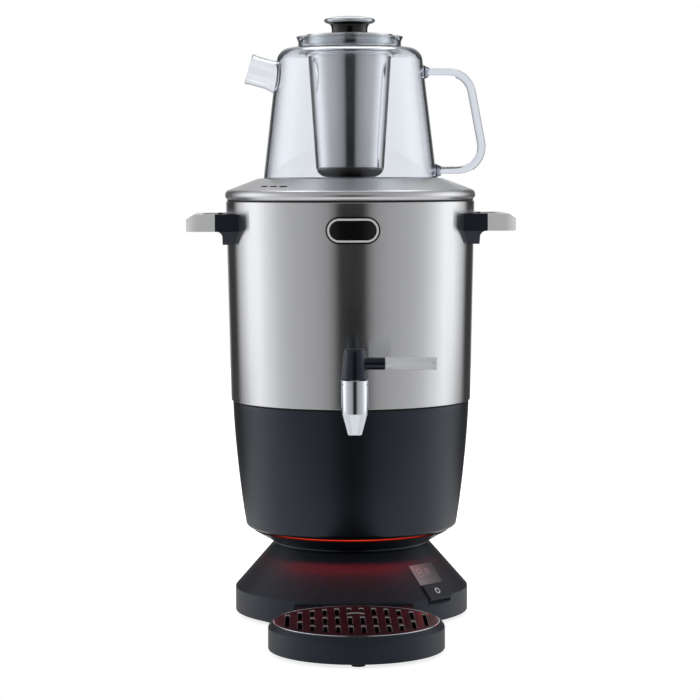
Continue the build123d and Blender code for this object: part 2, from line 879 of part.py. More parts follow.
def handle_screws():
    screws = []
    for side in (-1, 1):
        for y in (-handle_screw_spread, handle_screw_spread):
            wall_r = tank_r(handle_screw_z) - tank_wall
            wall_x = math.sqrt(wall_r ** 2 - (abs(y) + handle_screw_head_r) ** 2)
            head_x = wall_x - seat - handle_screw_head_height
            length = pad_x - handle_screw_cover - seat - head_x
            screw = along_x(handle_screw_head_r, head_x, handle_screw_head_height, handle_screw_z, y)
            screw += along_x(handle_screw_r, head_x, length, handle_screw_z, y)
            screws.append(screw if side > 0 else mirror(screw, Plane.YZ))
    return together(screws)


# Badge on the front of the tank
badge_z = tank_top_z - badge_drop
badge_rim_low = badge_plate_thickness / 2


def badge_layer(inset, width, low, high):
    """Stadium-shaped layer that follows the tank between two heights over it; width 0 means a full plate."""
    shape = SlotOverall(badge_width - 2 * inset, badge_height - 2 * inset)
    if width:
        shape -= SlotOverall(badge_width - 2 * inset - 2 * width, badge_height - 2 * inset - 2 * width)
    prism = extrude(Plane.XZ * Pos(0, badge_z) * shape, tank_top_r + 2 * high)
    return (prism & tank_solid(seat + high)) - tank_solid(seat + low)


def badge_plate():
    plate = badge_layer(0, 0, 0, badge_plate_thickness)
    return plate - badge_layer(badge_rim_inset, badge_rim_width, badge_rim_low, badge_plate_thickness)


def badge_rim():
    top = badge_plate_thickness + badge_rim_proud
    return badge_layer(badge_rim_inset, badge_rim_width, badge_rim_low, top)


# Tap: body, fixing, and the lever that turns its plug
plug_low_z = barrel_top_z - tap_plug_length
washer_back_y = -tank_r(tap_z) - tap_washer_thickness
tap_flange_y = washer_back_y - tap_flange_thickness
nut_outer_y = -tank_r(tap_z) + tank_wall + tap_washer_thickness + 2 * seat


def tap_body():
    bottom_z = barrel_bottom_z - tap_nozzle_height
    groove_z = barrel_top_z - tap_groove_drop
    barrel = lathe([
        (0, bottom_z),
        (tap_nozzle_r, bottom_z),
        (tap_r, barrel_bottom_z),
        (tap_r, groove_z - tap_groove_width),
        (tap_r - tap_groove_depth, groove_z - tap_groove_width),
        (tap_r - tap_groove_depth, groove_z),
        (tap_r, groove_z),
        (tap_r, barrel_top_z),
        (0, barrel_top_z),
    ])
    body = Pos(0, tap_y, 0) * barrel
    body += along_y(tap_neck_r, tap_y, washer_back_y - tap_y, tap_z)
    body += along_y(tap_flange_r, tap_flange_y, tap_flange_thickness, tap_z)
    shank_end_y = -tank_r(tap_z) + tap_shank_length
    body += along_y(tap_shank_r, tap_flange_y, shank_end_y - tap_flange_y, tap_z)
    body -= upright(tap_plug_r, plug_low_z, barrel_top_z, 0, tap_y)
    body -= upright(tap_outlet_r, bottom_z, plug_low_z, 0, tap_y)
    return body - along_y(tap_port_r, tap_y, shank_end_y - tap_y, tap_z)


def tap_outer_washer():
    washer = along_y(tap_washer_r, washer_back_y, tap_washer_r, tap_z)
    washer -= along_y(tap_shank_r + seat, washer_back_y, tap_washer_r, tap_z)
    return washer - tank_solid(seat)


def tap_inner_washer():
    start_y = -tank_r(tap_z)
    length = nut_outer_y - start_y
    washer = along_y(tap_inner_washer_r, start_y, length, tap_z)
    washer -= along_y(tap_shank_r + seat, start_y, length, tap_z)
    return washer & tank_solid(-tank_wall - seat)


def tap_nut():
    nut = extrude(RegularPolygon(tap_nut_across / 2, 6, major_radius=False), tap_nut_height)
    nut = Pos(0, nut_outer_y, tap_z) * Rot(-90, 0, 0) * nut
    return nut - along_y(tap_shank_r + plug_run, nut_outer_y, tap_nut_height, tap_z)


def tap_plug():
    radius = tap_plug_r - plug_run
    oring_z = barrel_top_z - oring_drop
    plug = upright(radius, plug_low_z + slip, barrel_top_z, 0, tap_y)
    plug += upright(lever_socket_r - plug_run, barrel_top_z, lever_foot_z + lever_socket_depth, 0, tap_y)
    plug -= upright(tap_port_r, plug_low_z, tap_z, 0, tap_y)
    plug -= along_x(tap_port_r, -tap_plug_r, tap_plug_r, tap_z, tap_y)
    groove = upright(tap_plug_r, oring_z - oring_r, oring_z + oring_r, 0, tap_y)
    return plug - (groove - upright(radius - 2 * oring_r, oring_z - oring_r, oring_z + oring_r, 0, tap_y))


def tap_oring():
    return Pos(0, tap_y, barrel_top_z - oring_drop) * Torus(tap_plug_r - plug_run - oring_r, oring_r)


def tap_lever():
    top_z = lever_foot_z + lever_height
    bonnet = lathe(
        [(0, lever_foot_z), (lever_low_r, lever_foot_z), (lever_top_r, top_z), (0, top_z)],
        [((lever_top_r, top_z), lever_round)],
    )
    arm = along_x(lever_arm_r, 0, lever_arm_reach, lever_arm_z)
    core = along_x(lever_core_r, 0, lever_arm_reach + lever_core_length, lever_arm_z)
    lever = bonnet + arm + core - upright(lever_socket_r, lever_foot_z, lever_foot_z + lever_socket_depth)
    return Pos(0, tap_y, 0) * lever


def lever_grip():
    grip = along_x(grip_r, lever_arm_reach, grip_length, lever_arm_z)
    grip = chamfer(grip.edges().filter_by(GeomType.CIRCLE), grip_chamfer)
    grip -= along_x(lever_core_r + plug_run, lever_arm_reach, lever_core_length + plug_run, lever_arm_z)
    return Pos(0, tap_y, 0) * grip


# Tank lid
rim_inner_r = lid_r - lid_rim_width
rim_top_z = lid_bottom_z + lid_rim_height
lid_rim_top_r = lid_r - lid_rim_width / 2
lid_slope = (lid_top_z - rim_top_z) / (lid_rim_top_r - lid_crown_r)
liner_r = tank_top_r - tank_lip_width - slip


def lid_under_z(r):
    """Height of the underside of the sloping sheet."""
    return rim_top_z + (lid_rim_top_r - r) * lid_slope - lid_sheet


def lid_cover():
    bulge_z = lid_bottom_z + lid_rim_height / 2
    rim = ThreePointArc((lid_rim_top_r, lid_bottom_z), (lid_r, bulge_z), (lid_rim_top_r, rim_top_z))
    under_r = lid_well_r + lid_sheet
    outline = Polyline(
        (lid_rim_top_r, rim_top_z),
        (lid_crown_r, lid_top_z),
        (lid_well_r, lid_top_z),
        (lid_well_r, well_floor_z),
        (steam_hole_r, well_floor_z),
        (steam_hole_r, well_floor_z - lid_sheet),
        (under_r, well_floor_z - lid_sheet),
        (under_r, lid_top_z - lid_sheet),
        (lid_crown_r, lid_top_z - lid_sheet),
        (rim_inner_r, lid_under_z(rim_inner_r)),
        (rim_inner_r, lid_bottom_z),
        (lid_rim_top_r, lid_bottom_z),
    )
    cover = turned(rim, *outline.edges())
    slot = extrude(SlotOverall(steam_slot_length, steam_slot_width, rotation=90), lid_height)
    first = -(steam_slot_count - 1) / 2
    for i in range(steam_slot_count):
        azimuth = steam_slot_azimuth + (first + i) * steam_slot_pitch
        cover -= Rot(0, 0, azimuth) * Pos(rim_inner_r - steam_slot_inset, 0, rim_top_z - lid_sheet) * slot
    return cover


def lid_liner():
    inner_r = liner_r - liner_wall
    low_z = tank_top_z - liner_depth
    return lathe([
        (liner_r, low_z),
        (liner_r, lid_under_z(liner_r) - plug_run),
        (inner_r, lid_under_z(inner_r) - plug_run),
        (inner_r, low_z + liner_wall),
        (steam_hole_r, low_z + liner_wall),
        (steam_hole_r, low_z),
    ])


def lid_gasket():
    inner_r = liner_r + plug_run
    ring = upright(inner_r + gasket_width, tank_top_z, lid_bottom_z)
    return ring - upright(inner_r, tank_top_z, lid_bottom_z)


# Glass teapot
def pot_solid(inset=0.0, lift=0.0):
    """The pot's outside, or with an inset its inside, as a full solid."""
    base_r_in = pot_base_r - inset
    corner = pot_corner_r - inset / 2
    low_z = well_floor_z + lift
    wall_z = low_z + corner
    shoulder_r = pot_shoulder_r - inset
    neck_r = pot_neck_r - inset
    neck_z = pot_neck_z - inset
    mid_z = (well_floor_z + pot_corner_r + pot_shoulder_z) / 2
    bend_r = corner * (1 - math.sqrt(0.5))
    wall = ThreePointArc((base_r_in, wall_z), (pot_mid_r - inset, mid_z), (shoulder_r, pot_shoulder_z))
    shoulder = ThreePointArc(
        (shoulder_r, pot_shoulder_z),
        (shoulder_r - pot_shoulder_draw, pot_shoulder_z + pot_shoulder_swell),
        (neck_r, neck_z),
    )
    neck = Polyline(
        (neck_r, neck_z),
        (neck_r, pot_neck_z + pot_neck_height / 3),
        (pot_lip_r - inset, pot_lip_z),
        (0, pot_lip_z),
        (0, low_z),
        (base_r_in - corner, low_z),
    )
    foot = ThreePointArc(
        (base_r_in - corner, low_z), (base_r_in - bend_r, low_z + bend_r), (base_r_in, wall_z)
    )
    return turned(wall, shoulder, *neck.edges(), foot)


def spout_rod(radius, start, end):
    """Cylinder on the spout's axis, between two distances from the pot's wall."""
    root = Pos(-pot_shoulder_r - spout_root_offset, 0, pot_lip_z - spout_root_drop)
    return root * Rot(0, spout_slope - 90, 0) * Pos(0, 0, start) * Cylinder(radius, end - start, align=UP)


def teapot_body():
    bore = spout_rod(spout_r - spout_wall, -spout_r, spout_r)
    return pot_solid() - pot_solid(pot_wall, pot_floor) - bore


def teapot_spout():
    tube = spout_rod(spout_r, -spout_r, spout_length)
    tube -= spout_rod(spout_r - spout_wall, -spout_r, spout_length)
    return (tube - pot_solid()).solids().sort_by(Axis.X)[0]


def teapot_handle():
    top_z = pot_lip_z - pot_handle_top_drop
    low_z = well_floor_z + pot_handle_low_rise
    path = FilletPolyline(
        (pot_shoulder_r / 2, 0, top_z),
        (pot_shoulder_r + pot_handle_top_reach, 0, top_z),
        (pot_base_r + pot_handle_low_reach, 0, low_z),
        (pot_base_r / 2, 0, low_z),
        radius=pot_handle_bend,
    )
    rod = sweep(Plane(path @ 0, z_dir=path % 0) * Circle(pot_handle_r), path)
    return (rod - pot_solid()).solids().sort_by(Axis.X)[-1]


# Infuser
def infuser_solid(inset=0.0):
    """The basket's outside below its flange, or with an inset its inside, as a full solid."""
    band_low_z = collar_top_z - infuser_band_height
    bead_low_z = band_low_z - infuser_bead_height
    floor_z = infuser_floor_z + inset
    corner = infuser_corner_r - inset
    low_r = infuser_low_r - inset
    top_r = infuser_top_r - inset
    return lathe(
        [
            (0, floor_z),
            (low_r, floor_z),
            (top_r, bead_low_z),
            (infuser_bead_r - inset, bead_low_z + infuser_wall),
            (infuser_bead_r - inset, band_low_z - infuser_wall),
            (infuser_band_r - inset, band_low_z),
            (infuser_band_r - inset, flange_top_z),
            (0, flange_top_z),
        ],
        [((low_r, floor_z), corner)],
    )


def infuser_basket():
    flange = upright(infuser_flange_r, collar_top_z, flange_top_z)
    return infuser_solid() + flange - infuser_solid(infuser_wall)


def infuser_collar():
    inner_r = infuser_band_r + plug_run
    neck_r = pot_neck_r - pot_wall - slip
    lip_r = pot_lip_r - pot_wall - slip
    return lathe([
        (inner_r, collar_top_z - collar_height),
        (neck_r, collar_top_z - collar_height),
        (neck_r, pot_neck_z + pot_neck_height / 3),
        (lip_r, collar_top_z),
        (inner_r, collar_top_z),
    ])


# Teapot lid
def pot_lid():
    rim_z = flange_top_z + pot_lid_rim
    plug_r = infuser_band_r - infuser_wall - slip
    plug_low_z = flange_top_z - pot_lid_plug_depth
    under_z = flange_top_z + pot_lid_rim + pot_lid_dome - pot_lid_sheet
    return lathe([
        (knob_screw_r + plug_run, under_z),
        (knob_neck_r, under_z),
        (plug_r - pot_lid_sheet, flange_top_z),
        (plug_r - pot_lid_sheet, plug_low_z),
        (plug_r, plug_low_z),
        (plug_r, flange_top_z),
        (pot_lid_r, flange_top_z),
        (pot_lid_r, rim_z),
        (knob_neck_r, knob_foot_z),
        (knob_screw_r + plug_run, knob_foot_z),
    ])


def lid_knob():
    top_z = knob_foot_z + knob_height
    waist_z = knob_foot_z + knob_waist_height
    flare = ThreePointArc(
        (knob_neck_r, waist_z),
        (knob_neck_r + knob_flare_out, waist_z + knob_flare_up),
        (knob_top_r, top_z),
    )
    outline = Polyline((knob_top_r, top_z), (0, top_z), (0, knob_foot_z), (knob_neck_r, knob_foot_z))
    knob = turned(flare, *outline.edges(), Line((knob_neck_r, knob_foot_z), (knob_neck_r, waist_z)))
    return knob - upright(knob_screw_r + plug_run, knob_foot_z, knob_foot_z + knob_screw_length)


def knob_cap():
    low_z = knob_foot_z + knob_height
    rim_z = low_z + knob_cap_thickness
    dome_r = (knob_cap_r ** 2 + knob_cap_dome ** 2) / (2 * knob_cap_dome)
    mid_drop = dome_r - math.sqrt(dome_r ** 2 - knob_cap_r ** 2 / 4)
    mid = (knob_cap_r / 2, rim_z + knob_cap_dome - mid_drop)
    dome = ThreePointArc((knob_cap_r, rim_z), mid, (0, rim_z + knob_cap_dome))
    outline = Polyline((0, rim_z + knob_cap_dome), (0, low_z), (knob_top_r, low_z), (knob_cap_r, rim_z))
    return turned(dome, *outline.edges())


def knob_screw():
    under_z = flange_top_z + pot_lid_rim + pot_lid_dome - pot_lid_sheet
    head = upright(knob_screw_head_r, under_z - knob_screw_head_height, under_z)
    return head + upright(knob_screw_r, under_z, knob_foot_z + knob_screw_length - seat)


makers = [
    base_shell, base_floor, base_foot_ring, base_floor_screws, coupler_pedestal, cord_gland,
    control_board, display_module, display_lens, button_switch, power_button,
    tray_pan, tray_feet, tray_grille, grille_trim,
    bottom_pan, light_ring, light_board, lower_bowl, bowl_seal, tank, heater_plate, heater_element,
    thermostat, temperature_probe, tie_rods, tie_rod_nuts, coupler_socket, handle_screws,
    badge_plate, badge_rim, tap_body, tap_outer_washer, tap_inner_washer, tap_nut,
    tap_plug, tap_oring, tap_lever, lever_grip, lid_cover, lid_liner, lid_gasket,
    teapot_body, teapot_spout, teapot_handle, infuser_basket, infuser_collar,
    pot_lid, lid_knob, knob_cap, knob_screw,
]
nodes = {make.__name__: make() for make in makers}
for name, make in (("handle_bracket", handle_bracket), ("handle_grip", handle_grip)):
    right = make()
    nodes[name + "_right"] = right
    nodes[name + "_left"] = mirror(right, Plane.YZ)

os.makedirs("parts", exist_ok=True)
for name, shape in nodes.items():
    export_step(shape, "parts/" + name + ".step")
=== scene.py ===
import math

import bmesh
import bpy
from mathutils import Matrix, Vector


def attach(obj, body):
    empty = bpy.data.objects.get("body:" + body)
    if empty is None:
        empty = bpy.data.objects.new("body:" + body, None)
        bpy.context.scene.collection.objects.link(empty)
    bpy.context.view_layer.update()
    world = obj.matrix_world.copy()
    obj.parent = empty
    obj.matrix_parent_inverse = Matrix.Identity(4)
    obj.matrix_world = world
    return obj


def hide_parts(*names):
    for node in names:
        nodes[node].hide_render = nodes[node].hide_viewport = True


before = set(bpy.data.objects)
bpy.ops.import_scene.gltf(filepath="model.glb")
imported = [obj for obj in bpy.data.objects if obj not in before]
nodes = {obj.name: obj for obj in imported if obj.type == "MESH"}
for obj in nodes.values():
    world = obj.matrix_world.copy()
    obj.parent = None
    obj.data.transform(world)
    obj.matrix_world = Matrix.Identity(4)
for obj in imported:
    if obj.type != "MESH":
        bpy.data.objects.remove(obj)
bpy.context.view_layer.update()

# Base shell: the black housing that stands on the table, with a sloping deck and a flat top for the kettle.
# It is moulded in one from ABS with a fine satin skin, and a floor plate closes it from below.
mm = 0.001
abs_black = "1A1C21"
cool_sheen = "D6E6FF"
abs_grain = 0.9


def linear(colour):
    """Linear RGBA of an sRGB hex colour."""
    parts = [int(colour[i:i + 2], 16) / 255 for i in (0, 2, 4)]
    return [c / 12.92 if c <= 0.04045 else ((c + 0.055) / 1.055) ** 2.4 for c in parts] + [1.0]


def add_node(tree, kind, inputs=(), stops=(), **settings):
    """Adds a node with its settings, its values and links, and the stops of a colour ramp."""
    node = tree.nodes.new("ShaderNode" + kind)
    for name, value in settings.items():
        setattr(node, name, value)
    for name, value in dict(inputs).items():
        if isinstance(value, bpy.types.NodeSocket):
            tree.links.new(value, node.inputs[name])
        else:
            node.inputs[name].default_value = value
    if stops:
        points = node.color_ramp.elements
        points.remove(points[1])
        for i, (place, level) in enumerate(stops):
            stop = points.new(place) if i else points[0]
            stop.position = place
            stop.color = (level, level, level, 1.0)
    return node


def start_material(name, colour, **sockets):
    """New material: its node tree and its shader with the values that are the same all over."""
    material = bpy.data.materials.new(name)
    material.use_nodes = True
    shader = material.node_tree.nodes["Principled BSDF"]
    shader.inputs["Base Color"].default_value = linear(colour)
    for socket, value in sockets.items():
        shader.inputs[socket.replace("_", " ").title().replace("Ior", "IOR")].default_value = value
    return material, material.node_tree, shader


def surface(tree, shader, grain, roughness, depth, finer=(1, 1, 1)):
    """Uneven gloss and shallow relief from noise; grain and depth in mm, finer divides the grain by axis."""
    place = add_node(tree, "TexCoord")
    divided = add_node(tree, "Mapping", {"Vector": place.outputs["Object"], "Scale": finer})
    noise = add_node(tree, "TexNoise", {
        "Vector": divided.outputs[0], "Scale": 1 / (grain * mm), "Detail": 3.0,
    })
    gloss = add_node(tree, "MapRange", {
        "Value": noise.outputs[0], "To Min": roughness[0], "To Max": roughness[1],
    })
    relief = add_node(tree, "Bump", {"Height": noise.outputs[0], "Strength": 1.0, "Distance": depth * mm})
    tree.links.new(gloss.outputs[0], shader.inputs["Roughness"])
    tree.links.new(relief.outputs[0], shader.inputs["Normal"])


def dress(material, *names):
    """Gives CAD nodes a finish."""
    for name in names:
        for holder in nodes[name].material_slots:
            holder.material = material


# Moulded ABS: near black, with a soft sheen broken by the tool's spark-eroded grain, drawn coarser than real.
moulded_abs, tree, shader = start_material("moulded black ABS", abs_black, specular_ior_level=0.5,
                                           specular_tint=linear(cool_sheen))
surface(tree, shader, abs_grain, (0.40, 0.48), 0.003)
dress(moulded_abs, "base_shell")

# Floor plate, feet, coupler and cord bush: three screws hold the plate under the base, and the coupler's post
# is let into the base's top. A rubber foot ring under the base and feet under the tray stop them sliding, and
# a bush lines the hole for a lead.
rubber_grain = 0.7
plain_grain = 1.6
plating_cloud = 2.5

# Moulded rubber: dull black, with a fine skin.
soft_rubber, tree, shader = start_material("moulded rubber", "101012", IOR=1.52)
surface(tree, shader, rubber_grain, (0.62, 0.78), 0.01)
dress(soft_rubber, "base_foot_ring", "tray_feet", "cord_gland")

# Plain ABS: coarser and more matt, for pieces that hardly show.
plain_abs, tree, shader = start_material("plain black ABS", "1E1E21", IOR=1.53)
surface(tree, shader, plain_grain, (0.5, 0.62), 0.01)
dress(plain_abs, "base_floor", "coupler_pedestal", "coupler_socket")

# Zinc-plated steel: pale grey with a faint cloudiness from the plating bath.
plated_steel, tree, shader = start_material("zinc plated steel", "B4B6B9", metallic=1.0)
surface(tree, shader, plating_cloud, (0.28, 0.4), 0.003)
dress(plated_steel, "base_floor_screws", "tie_rods", "tie_rod_nuts", "handle_screws", "knob_screw")

# Control panel: a board with the display module and the switch, under a tinted acrylic lens that is let into
# the sloping deck to the right of the tap. Places on the panel are (across, up the deck, out of it) in mm.
panel_angle = math.radians(47.0)
panel_r = 92.5
panel_z = 21.1
deck_run = 29.7
deck_rise = 33.9
lens_middle = (0, 21.95, -0.3)
lens_half = 14.0
reflection_rise = 0.3
board_grain = 3.0
module_grain = 1.2
lens_ripple = 9.0

# Solder-masked board: green lacquer that lies a little uneven over the copper.
circuit_board, tree, shader = start_material("solder-masked board", "0F3D24", IOR=1.5)
surface(tree, shader, board_grain, (0.35, 0.5), 0.01)
dress(circuit_board, "control_board", "light_board")

# Module plastic: dark grey and matt, with a moulded grain.
module_plastic, tree, shader = start_material("grey module plastic", "34363A", IOR=1.5)
surface(tree, shader, module_grain, (0.45, 0.6), 0.006)
dress(module_plastic, "display_module", "button_switch", "thermostat")

panel_tilt = Vector((deck_run, deck_rise)).normalized()
panel_out = Vector((math.sin(panel_angle), -math.cos(panel_angle), 0))
panel_side = Vector((math.cos(panel_angle), math.sin(panel_angle), 0))
panel_normal = panel_out * panel_tilt.y + Vector((0, 0, panel_tilt.x))
panel_up = panel_normal.cross(panel_side)
panel_place = Matrix((panel_side, panel_up, panel_normal)).transposed().to_4x4()
panel_place.translation = panel_out * panel_r + Vector((0, 0, panel_z))


def mixed(tree, factor, low, high):
    """A colour that goes from one hex colour to another with a factor."""
    mix = add_node(tree, "Mix", {"Factor": factor, 6: linear(low), 7: linear(high)}, data_type="RGBA")
    return mix.outputs[2]


# Tinted acrylic: smoke grey and glossy, with a slight moulding ripple, and a painted reflection laid into its
# colour as a soft fade that goes from light at the lower left to dark at the upper right.
lens_acrylic, tree, shader = start_material("tinted acrylic", "6C7278", IOR=1.49, coat_weight=0.4)
surface(tree, shader, lens_ripple, (0.12, 0.2), 0.01)
# Painted reflection: the lens colour runs from pale at the lower left to dark at the upper right, as a
# softbox would.
reflection_way = (panel_up * reflection_rise + panel_side).normalized()
reflection_middle = (panel_place @ Vector(lens_middle)).dot(reflection_way) * mm
point = add_node(tree, "TexCoord")
along_reflection = add_node(tree, "VectorMath", {0: point.outputs["Object"], 1: reflection_way}, operation="DOT_PRODUCT")
painted_reflection = add_node(tree, "MapRange", {
    "Value": along_reflection.outputs["Value"],
    "From Min": reflection_middle - lens_half * mm,
    "From Max": reflection_middle + lens_half * mm,
})
tree.links.new(mixed(tree, painted_reflection.outputs[0], "8A9199", "22252A"), shader.inputs["Base Color"])
dress(lens_acrylic, "display_lens")

# Display digits: the unlit segments of two figures, printed in pale ink on the lens so that they only just
# show. Each figure is given as (across, up, width, height).
digit_places = ((-5.6, 23.8, 5.0, 6.4), (2.8, 24.0, 3.8, 5.0))
digit_line = 0.5
digit_z = (-0.32, -0.24)
ink_grain = 0.4
sharp_corner = 38.0


def new_piece(name, bm, material, body, slot, *replaced):
    """Makes a piece of the mesh, drawn in mm, hangs it on the body it rides on, and hides the CAD nodes it
    replaces.
    """
    bmesh.ops.scale(bm, vec=(mm, mm, mm), verts=bm.verts)
    mesh = bpy.data.meshes.new(name)
    bm.to_mesh(mesh)
    bm.free()
    mesh.materials.append(material)
    mesh.shade_smooth()
    mesh.set_sharp_from_angle(angle=math.radians(sharp_corner))
    piece = bpy.data.objects.new(name, mesh)
    bpy.context.scene.collection.objects.link(piece)
    even = piece.modifiers.new("even normals", "WEIGHTED_NORMAL")
    even.keep_sharp = True
    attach(piece, body)
    if replaced:
        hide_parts(*replaced)
    return piece


# Segment ink: a thin grey film, half matt.
unlit_ink, tree, shader = start_material("unlit segment ink", "A3A9AF", IOR=1.5)
surface(tree, shader, ink_grain, (0.35, 0.45), 0.001)
bm = bmesh.new()
for x, y, wide, tall in digit_places:
    bars = [((x, y + step * tall / 2), (wide - digit_line, digit_line)) for step in (-1, 0, 1)]
    bars += [
        ((x + side * wide / 2, y + step * tall / 4), (digit_line, tall / 2 - digit_line))
        for side in (-1, 1) for step in (-1, 1)
    ]
    for middle, size in bars:
        bar_place = Matrix.Translation((*middle, sum(digit_z) / 2))
        bar_size = Matrix.Diagonal((*size, digit_z[1] - digit_z[0], 1))
        bmesh.ops.create_cube(bm, size=1.0, matrix=bar_place @ bar_size)
bmesh.ops.transform(bm, matrix=panel_place, verts=bm.verts)
new_piece("display_digits", bm, unlit_ink, "base", "display_glass")

# Power button: a loose ABS key below the display that stands a little proud of the deck and sinks on its stem
# when pressed. A silver ring is printed on it.
button_low = (-13.05, -1.5, -2.4)
button_high = (13.05, 12.5, 0.8)
button_ease = 0.7
stem_half = (4.0, 3.0)
stem_y = 6.25
stem_length = 3.1
mark_r = (1.55, 2.6)
mark_z = (0.76, 0.83)
mark_y = 5.4


def block(low, high):
    """A closed box between two corners."""
    bm = bmesh.new()
    bmesh.ops.create_cube(bm, size=1.0)
    bmesh.ops.scale(bm, vec=Vector(high) - Vector(low), verts=bm.verts)
    bmesh.ops.translate(bm, vec=(Vector(high) + Vector(low)) / 2, verts=bm.verts)
    return bm


def ease(bm, edges, width, segments=3):
    """Rounds edges, or with one segment chamfers them."""
    bmesh.ops.bevel(bm, geom=edges, offset=width, offset_type="OFFSET", segments=segments, profile=0.5,
                    affect="EDGES", material=-1, clamp_overlap=True)


def underside(bm):
    """The lowest face."""
    return min(bm.faces, key=lambda f: f.calc_center_median().z)


bm = block(button_low, button_high)
sole = underside(bm)
ease(bm, [e for e in bm.edges if e not in sole.edges[:]], button_ease)
sole = underside(bm)
bmesh.ops.inset_individual(bm, faces=[sole], thickness=stem_half[1], use_even_offset=True)
sole_y = sole.calc_center_median().y
for v in sole.verts:
    v.co.x = math.copysign(stem_half[0], v.co.x)
    v.co.y = stem_y + math.copysign(stem_half[1], v.co.y - sole_y)
stem = bmesh.ops.extrude_discrete_faces(bm, faces=[sole])["faces"][0]
bmesh.ops.translate(bm, vec=(0, 0, -stem_length), verts=stem.verts[:])
bmesh.ops.transform(bm, matrix=panel_place, verts=bm.verts)
new_piece("power_key", bm, moulded_abs, "power_button", "black_plastic", "power_button")


def turned(outline, rounds=(), steps=160):
    """Mesh turned about the upright axis from (radius, height) points; rounds: (point, width, segments)."""
    bm = bmesh.new()
    rim = [bm.verts.new((r, 0, z)) for r, z in outline]
    line = [bm.edges.new(pair) for pair in zip(rim, rim[1:] + rim[:1])]
    bmesh.ops.spin(bm, geom=rim + line, cent=(0, 0, 0), axis=(0, 0, 1), angle=2 * math.pi, steps=steps,
                   use_merge=True)
    bmesh.ops.remove_doubles(bm, verts=bm.verts, dist=0.0005)
    bmesh.ops.recalc_face_normals(bm, faces=bm.faces)
    for (r, z), width, segments in rounds:
        ring = [
            e for e in bm.edges
            if all(abs(v.co.z - z) < 0.01 and abs(v.co.xy.length - r) < 0.01 for v in e.verts)
        ]
        ease(bm, ring, width, segments)
    return bm


def band(radii, heights):
    """The outline of a plain ring."""
    return [
        (radii[0], heights[0]), (radii[1], heights[0]), (radii[1], heights[1]), (radii[0], heights[1]),
    ]


# Silver ink: pale metallic print, slightly grainy.
silver_ink, tree, shader = start_material("silver ink", "D9DADC", metallic=0.7)
surface(tree, shader, ink_grain, (0.35, 0.5), 0.002)
bm = turned(band(mark_r, mark_z), steps=48)
bmesh.ops.translate(bm, vec=(0, mark_y, 0), verts=bm.verts)
bmesh.ops.transform(bm, matrix=panel_place, verts=bm.verts)
new_piece("power_mark", bm, silver_ink, "power_button", "chrome")

# Drip tray: a round pan moulded in ABS that stands in front of the base, with a tongue that slides under it.
# A ledge round the inside carries the grille.
tray_centre = Vector((0, -168, 0))
tray_r = 64.8
tray_low = 2.5
tray_shoulder = 18.6
tray_top = 22.1
tray_floor = 5.0
tray_inner_r = 58.0
ledge_r = 61.4
ledge_z = 20.2
tongue_half = 45.4
tongue_end = -74.5
tongue_z = (5.3, 18.5)
tray = [(0, tray_low), (tray_r, tray_low), (tray_r, tray_shoulder), (62.2, tray_top), (0, tray_top)]


def stacked(start, *steps):
    """The outline of cylinders on top of each other, each given as (radius, height of its top)."""
    outline = [(0, start)]
    for r, end in steps:
        outline += [(r, outline[-1][1]), (r, end)]
    return outline + [(0, outline[-1][1])]


def joined(first, second, operation):
    """One closed mesh of two: a union, what they share, or the first with the second cut out of it."""
    blanks = []
    for bm in (first, second):
        mesh = bpy.data.meshes.new("blank")
        bm.to_mesh(mesh)
        bm.free()
        blanks.append(bpy.data.objects.new("blank", mesh))
        bpy.context.scene.collection.objects.link(blanks[-1])
    weld = blanks[0].modifiers.new("weld", "BOOLEAN")
    weld.operation = operation
    weld.object = blanks[1]
    result = bmesh.new()
    result.from_object(blanks[0], bpy.context.evaluated_depsgraph_get())
    for blank in blanks:
        mesh = blank.data
        bpy.data.objects.remove(blank)
        bpy.data.meshes.remove(mesh)
    return result


bm = turned(tray, [(tray[1], 0.8, 3), (tray[2], 0.7, 3), (tray[3], 0.3, 2)])
bmesh.ops.translate(bm, vec=tray_centre, verts=bm.verts)
tongue = block((-tongue_half, tray_centre.y, tongue_z[0]), (tongue_half, tongue_end, tongue_z[1]))
bm = joined(bm, tongue, "UNION")
inside = stacked(tray_floor, (tray_inner_r, ledge_z), (ledge_r, tray_top + 1))
hollow = turned(inside, [(inside[1], 2.0, 3)])
bmesh.ops.translate(hollow, vec=tray_centre, verts=hollow.verts)
bm = joined(bm, hollow, "DIFFERENCE")
new_piece("tray_dish", bm, moulded_abs, "drip_tray", "black_plastic", "tray_pan")

# Drip grille: a pressed steel plate with long slots, enamelled in a dark red-black, the upper lips of its
# slots ground bare, their pale steel also a painted highlight on the slots' rear ends. A bright trim ring is
# crimped round its edge. It lies loose on the tray's ledge and lifts out by the half-moon hole.
grille_ease = 0.6
bare_highlight_lip = 21.7
level_face = 0.97
trim_r = (60.2, 61.1)
trim_z = (ledge_z, 22.7)
trim_ease = 0.25
enamel_red = "3A121B"
bare_highlight_steel = "D6D8DA"
enamel_peel = 2.2
chrome_haze = 4.0


def copied(name):
    """The mesh of a CAD node in mm, welded, with its flat faces made whole."""
    bm = bmesh.new()
    bm.from_mesh(nodes[name].data)
    bmesh.ops.scale(bm, vec=(1 / mm, 1 / mm, 1 / mm), verts=bm.verts)
    bmesh.ops.remove_doubles(bm, verts=bm.verts, dist=0.002)
    bmesh.ops.dissolve_limit(bm, angle_limit=math.radians(0.3), verts=bm.verts, edges=bm.edges)
    return bm


def corners(bm, least=30.0):
    """The edges where two faces meet at more than that angle."""
    return [e for e in bm.edges if len(e.link_faces) == 2 and e.calc_face_angle() > math.radians(least)]


def maths(tree, operation, *values):
    """The result of an operation on values and node outputs."""
    return add_node(tree, "Math", dict(enumerate(values)), operation=operation).outputs[0]
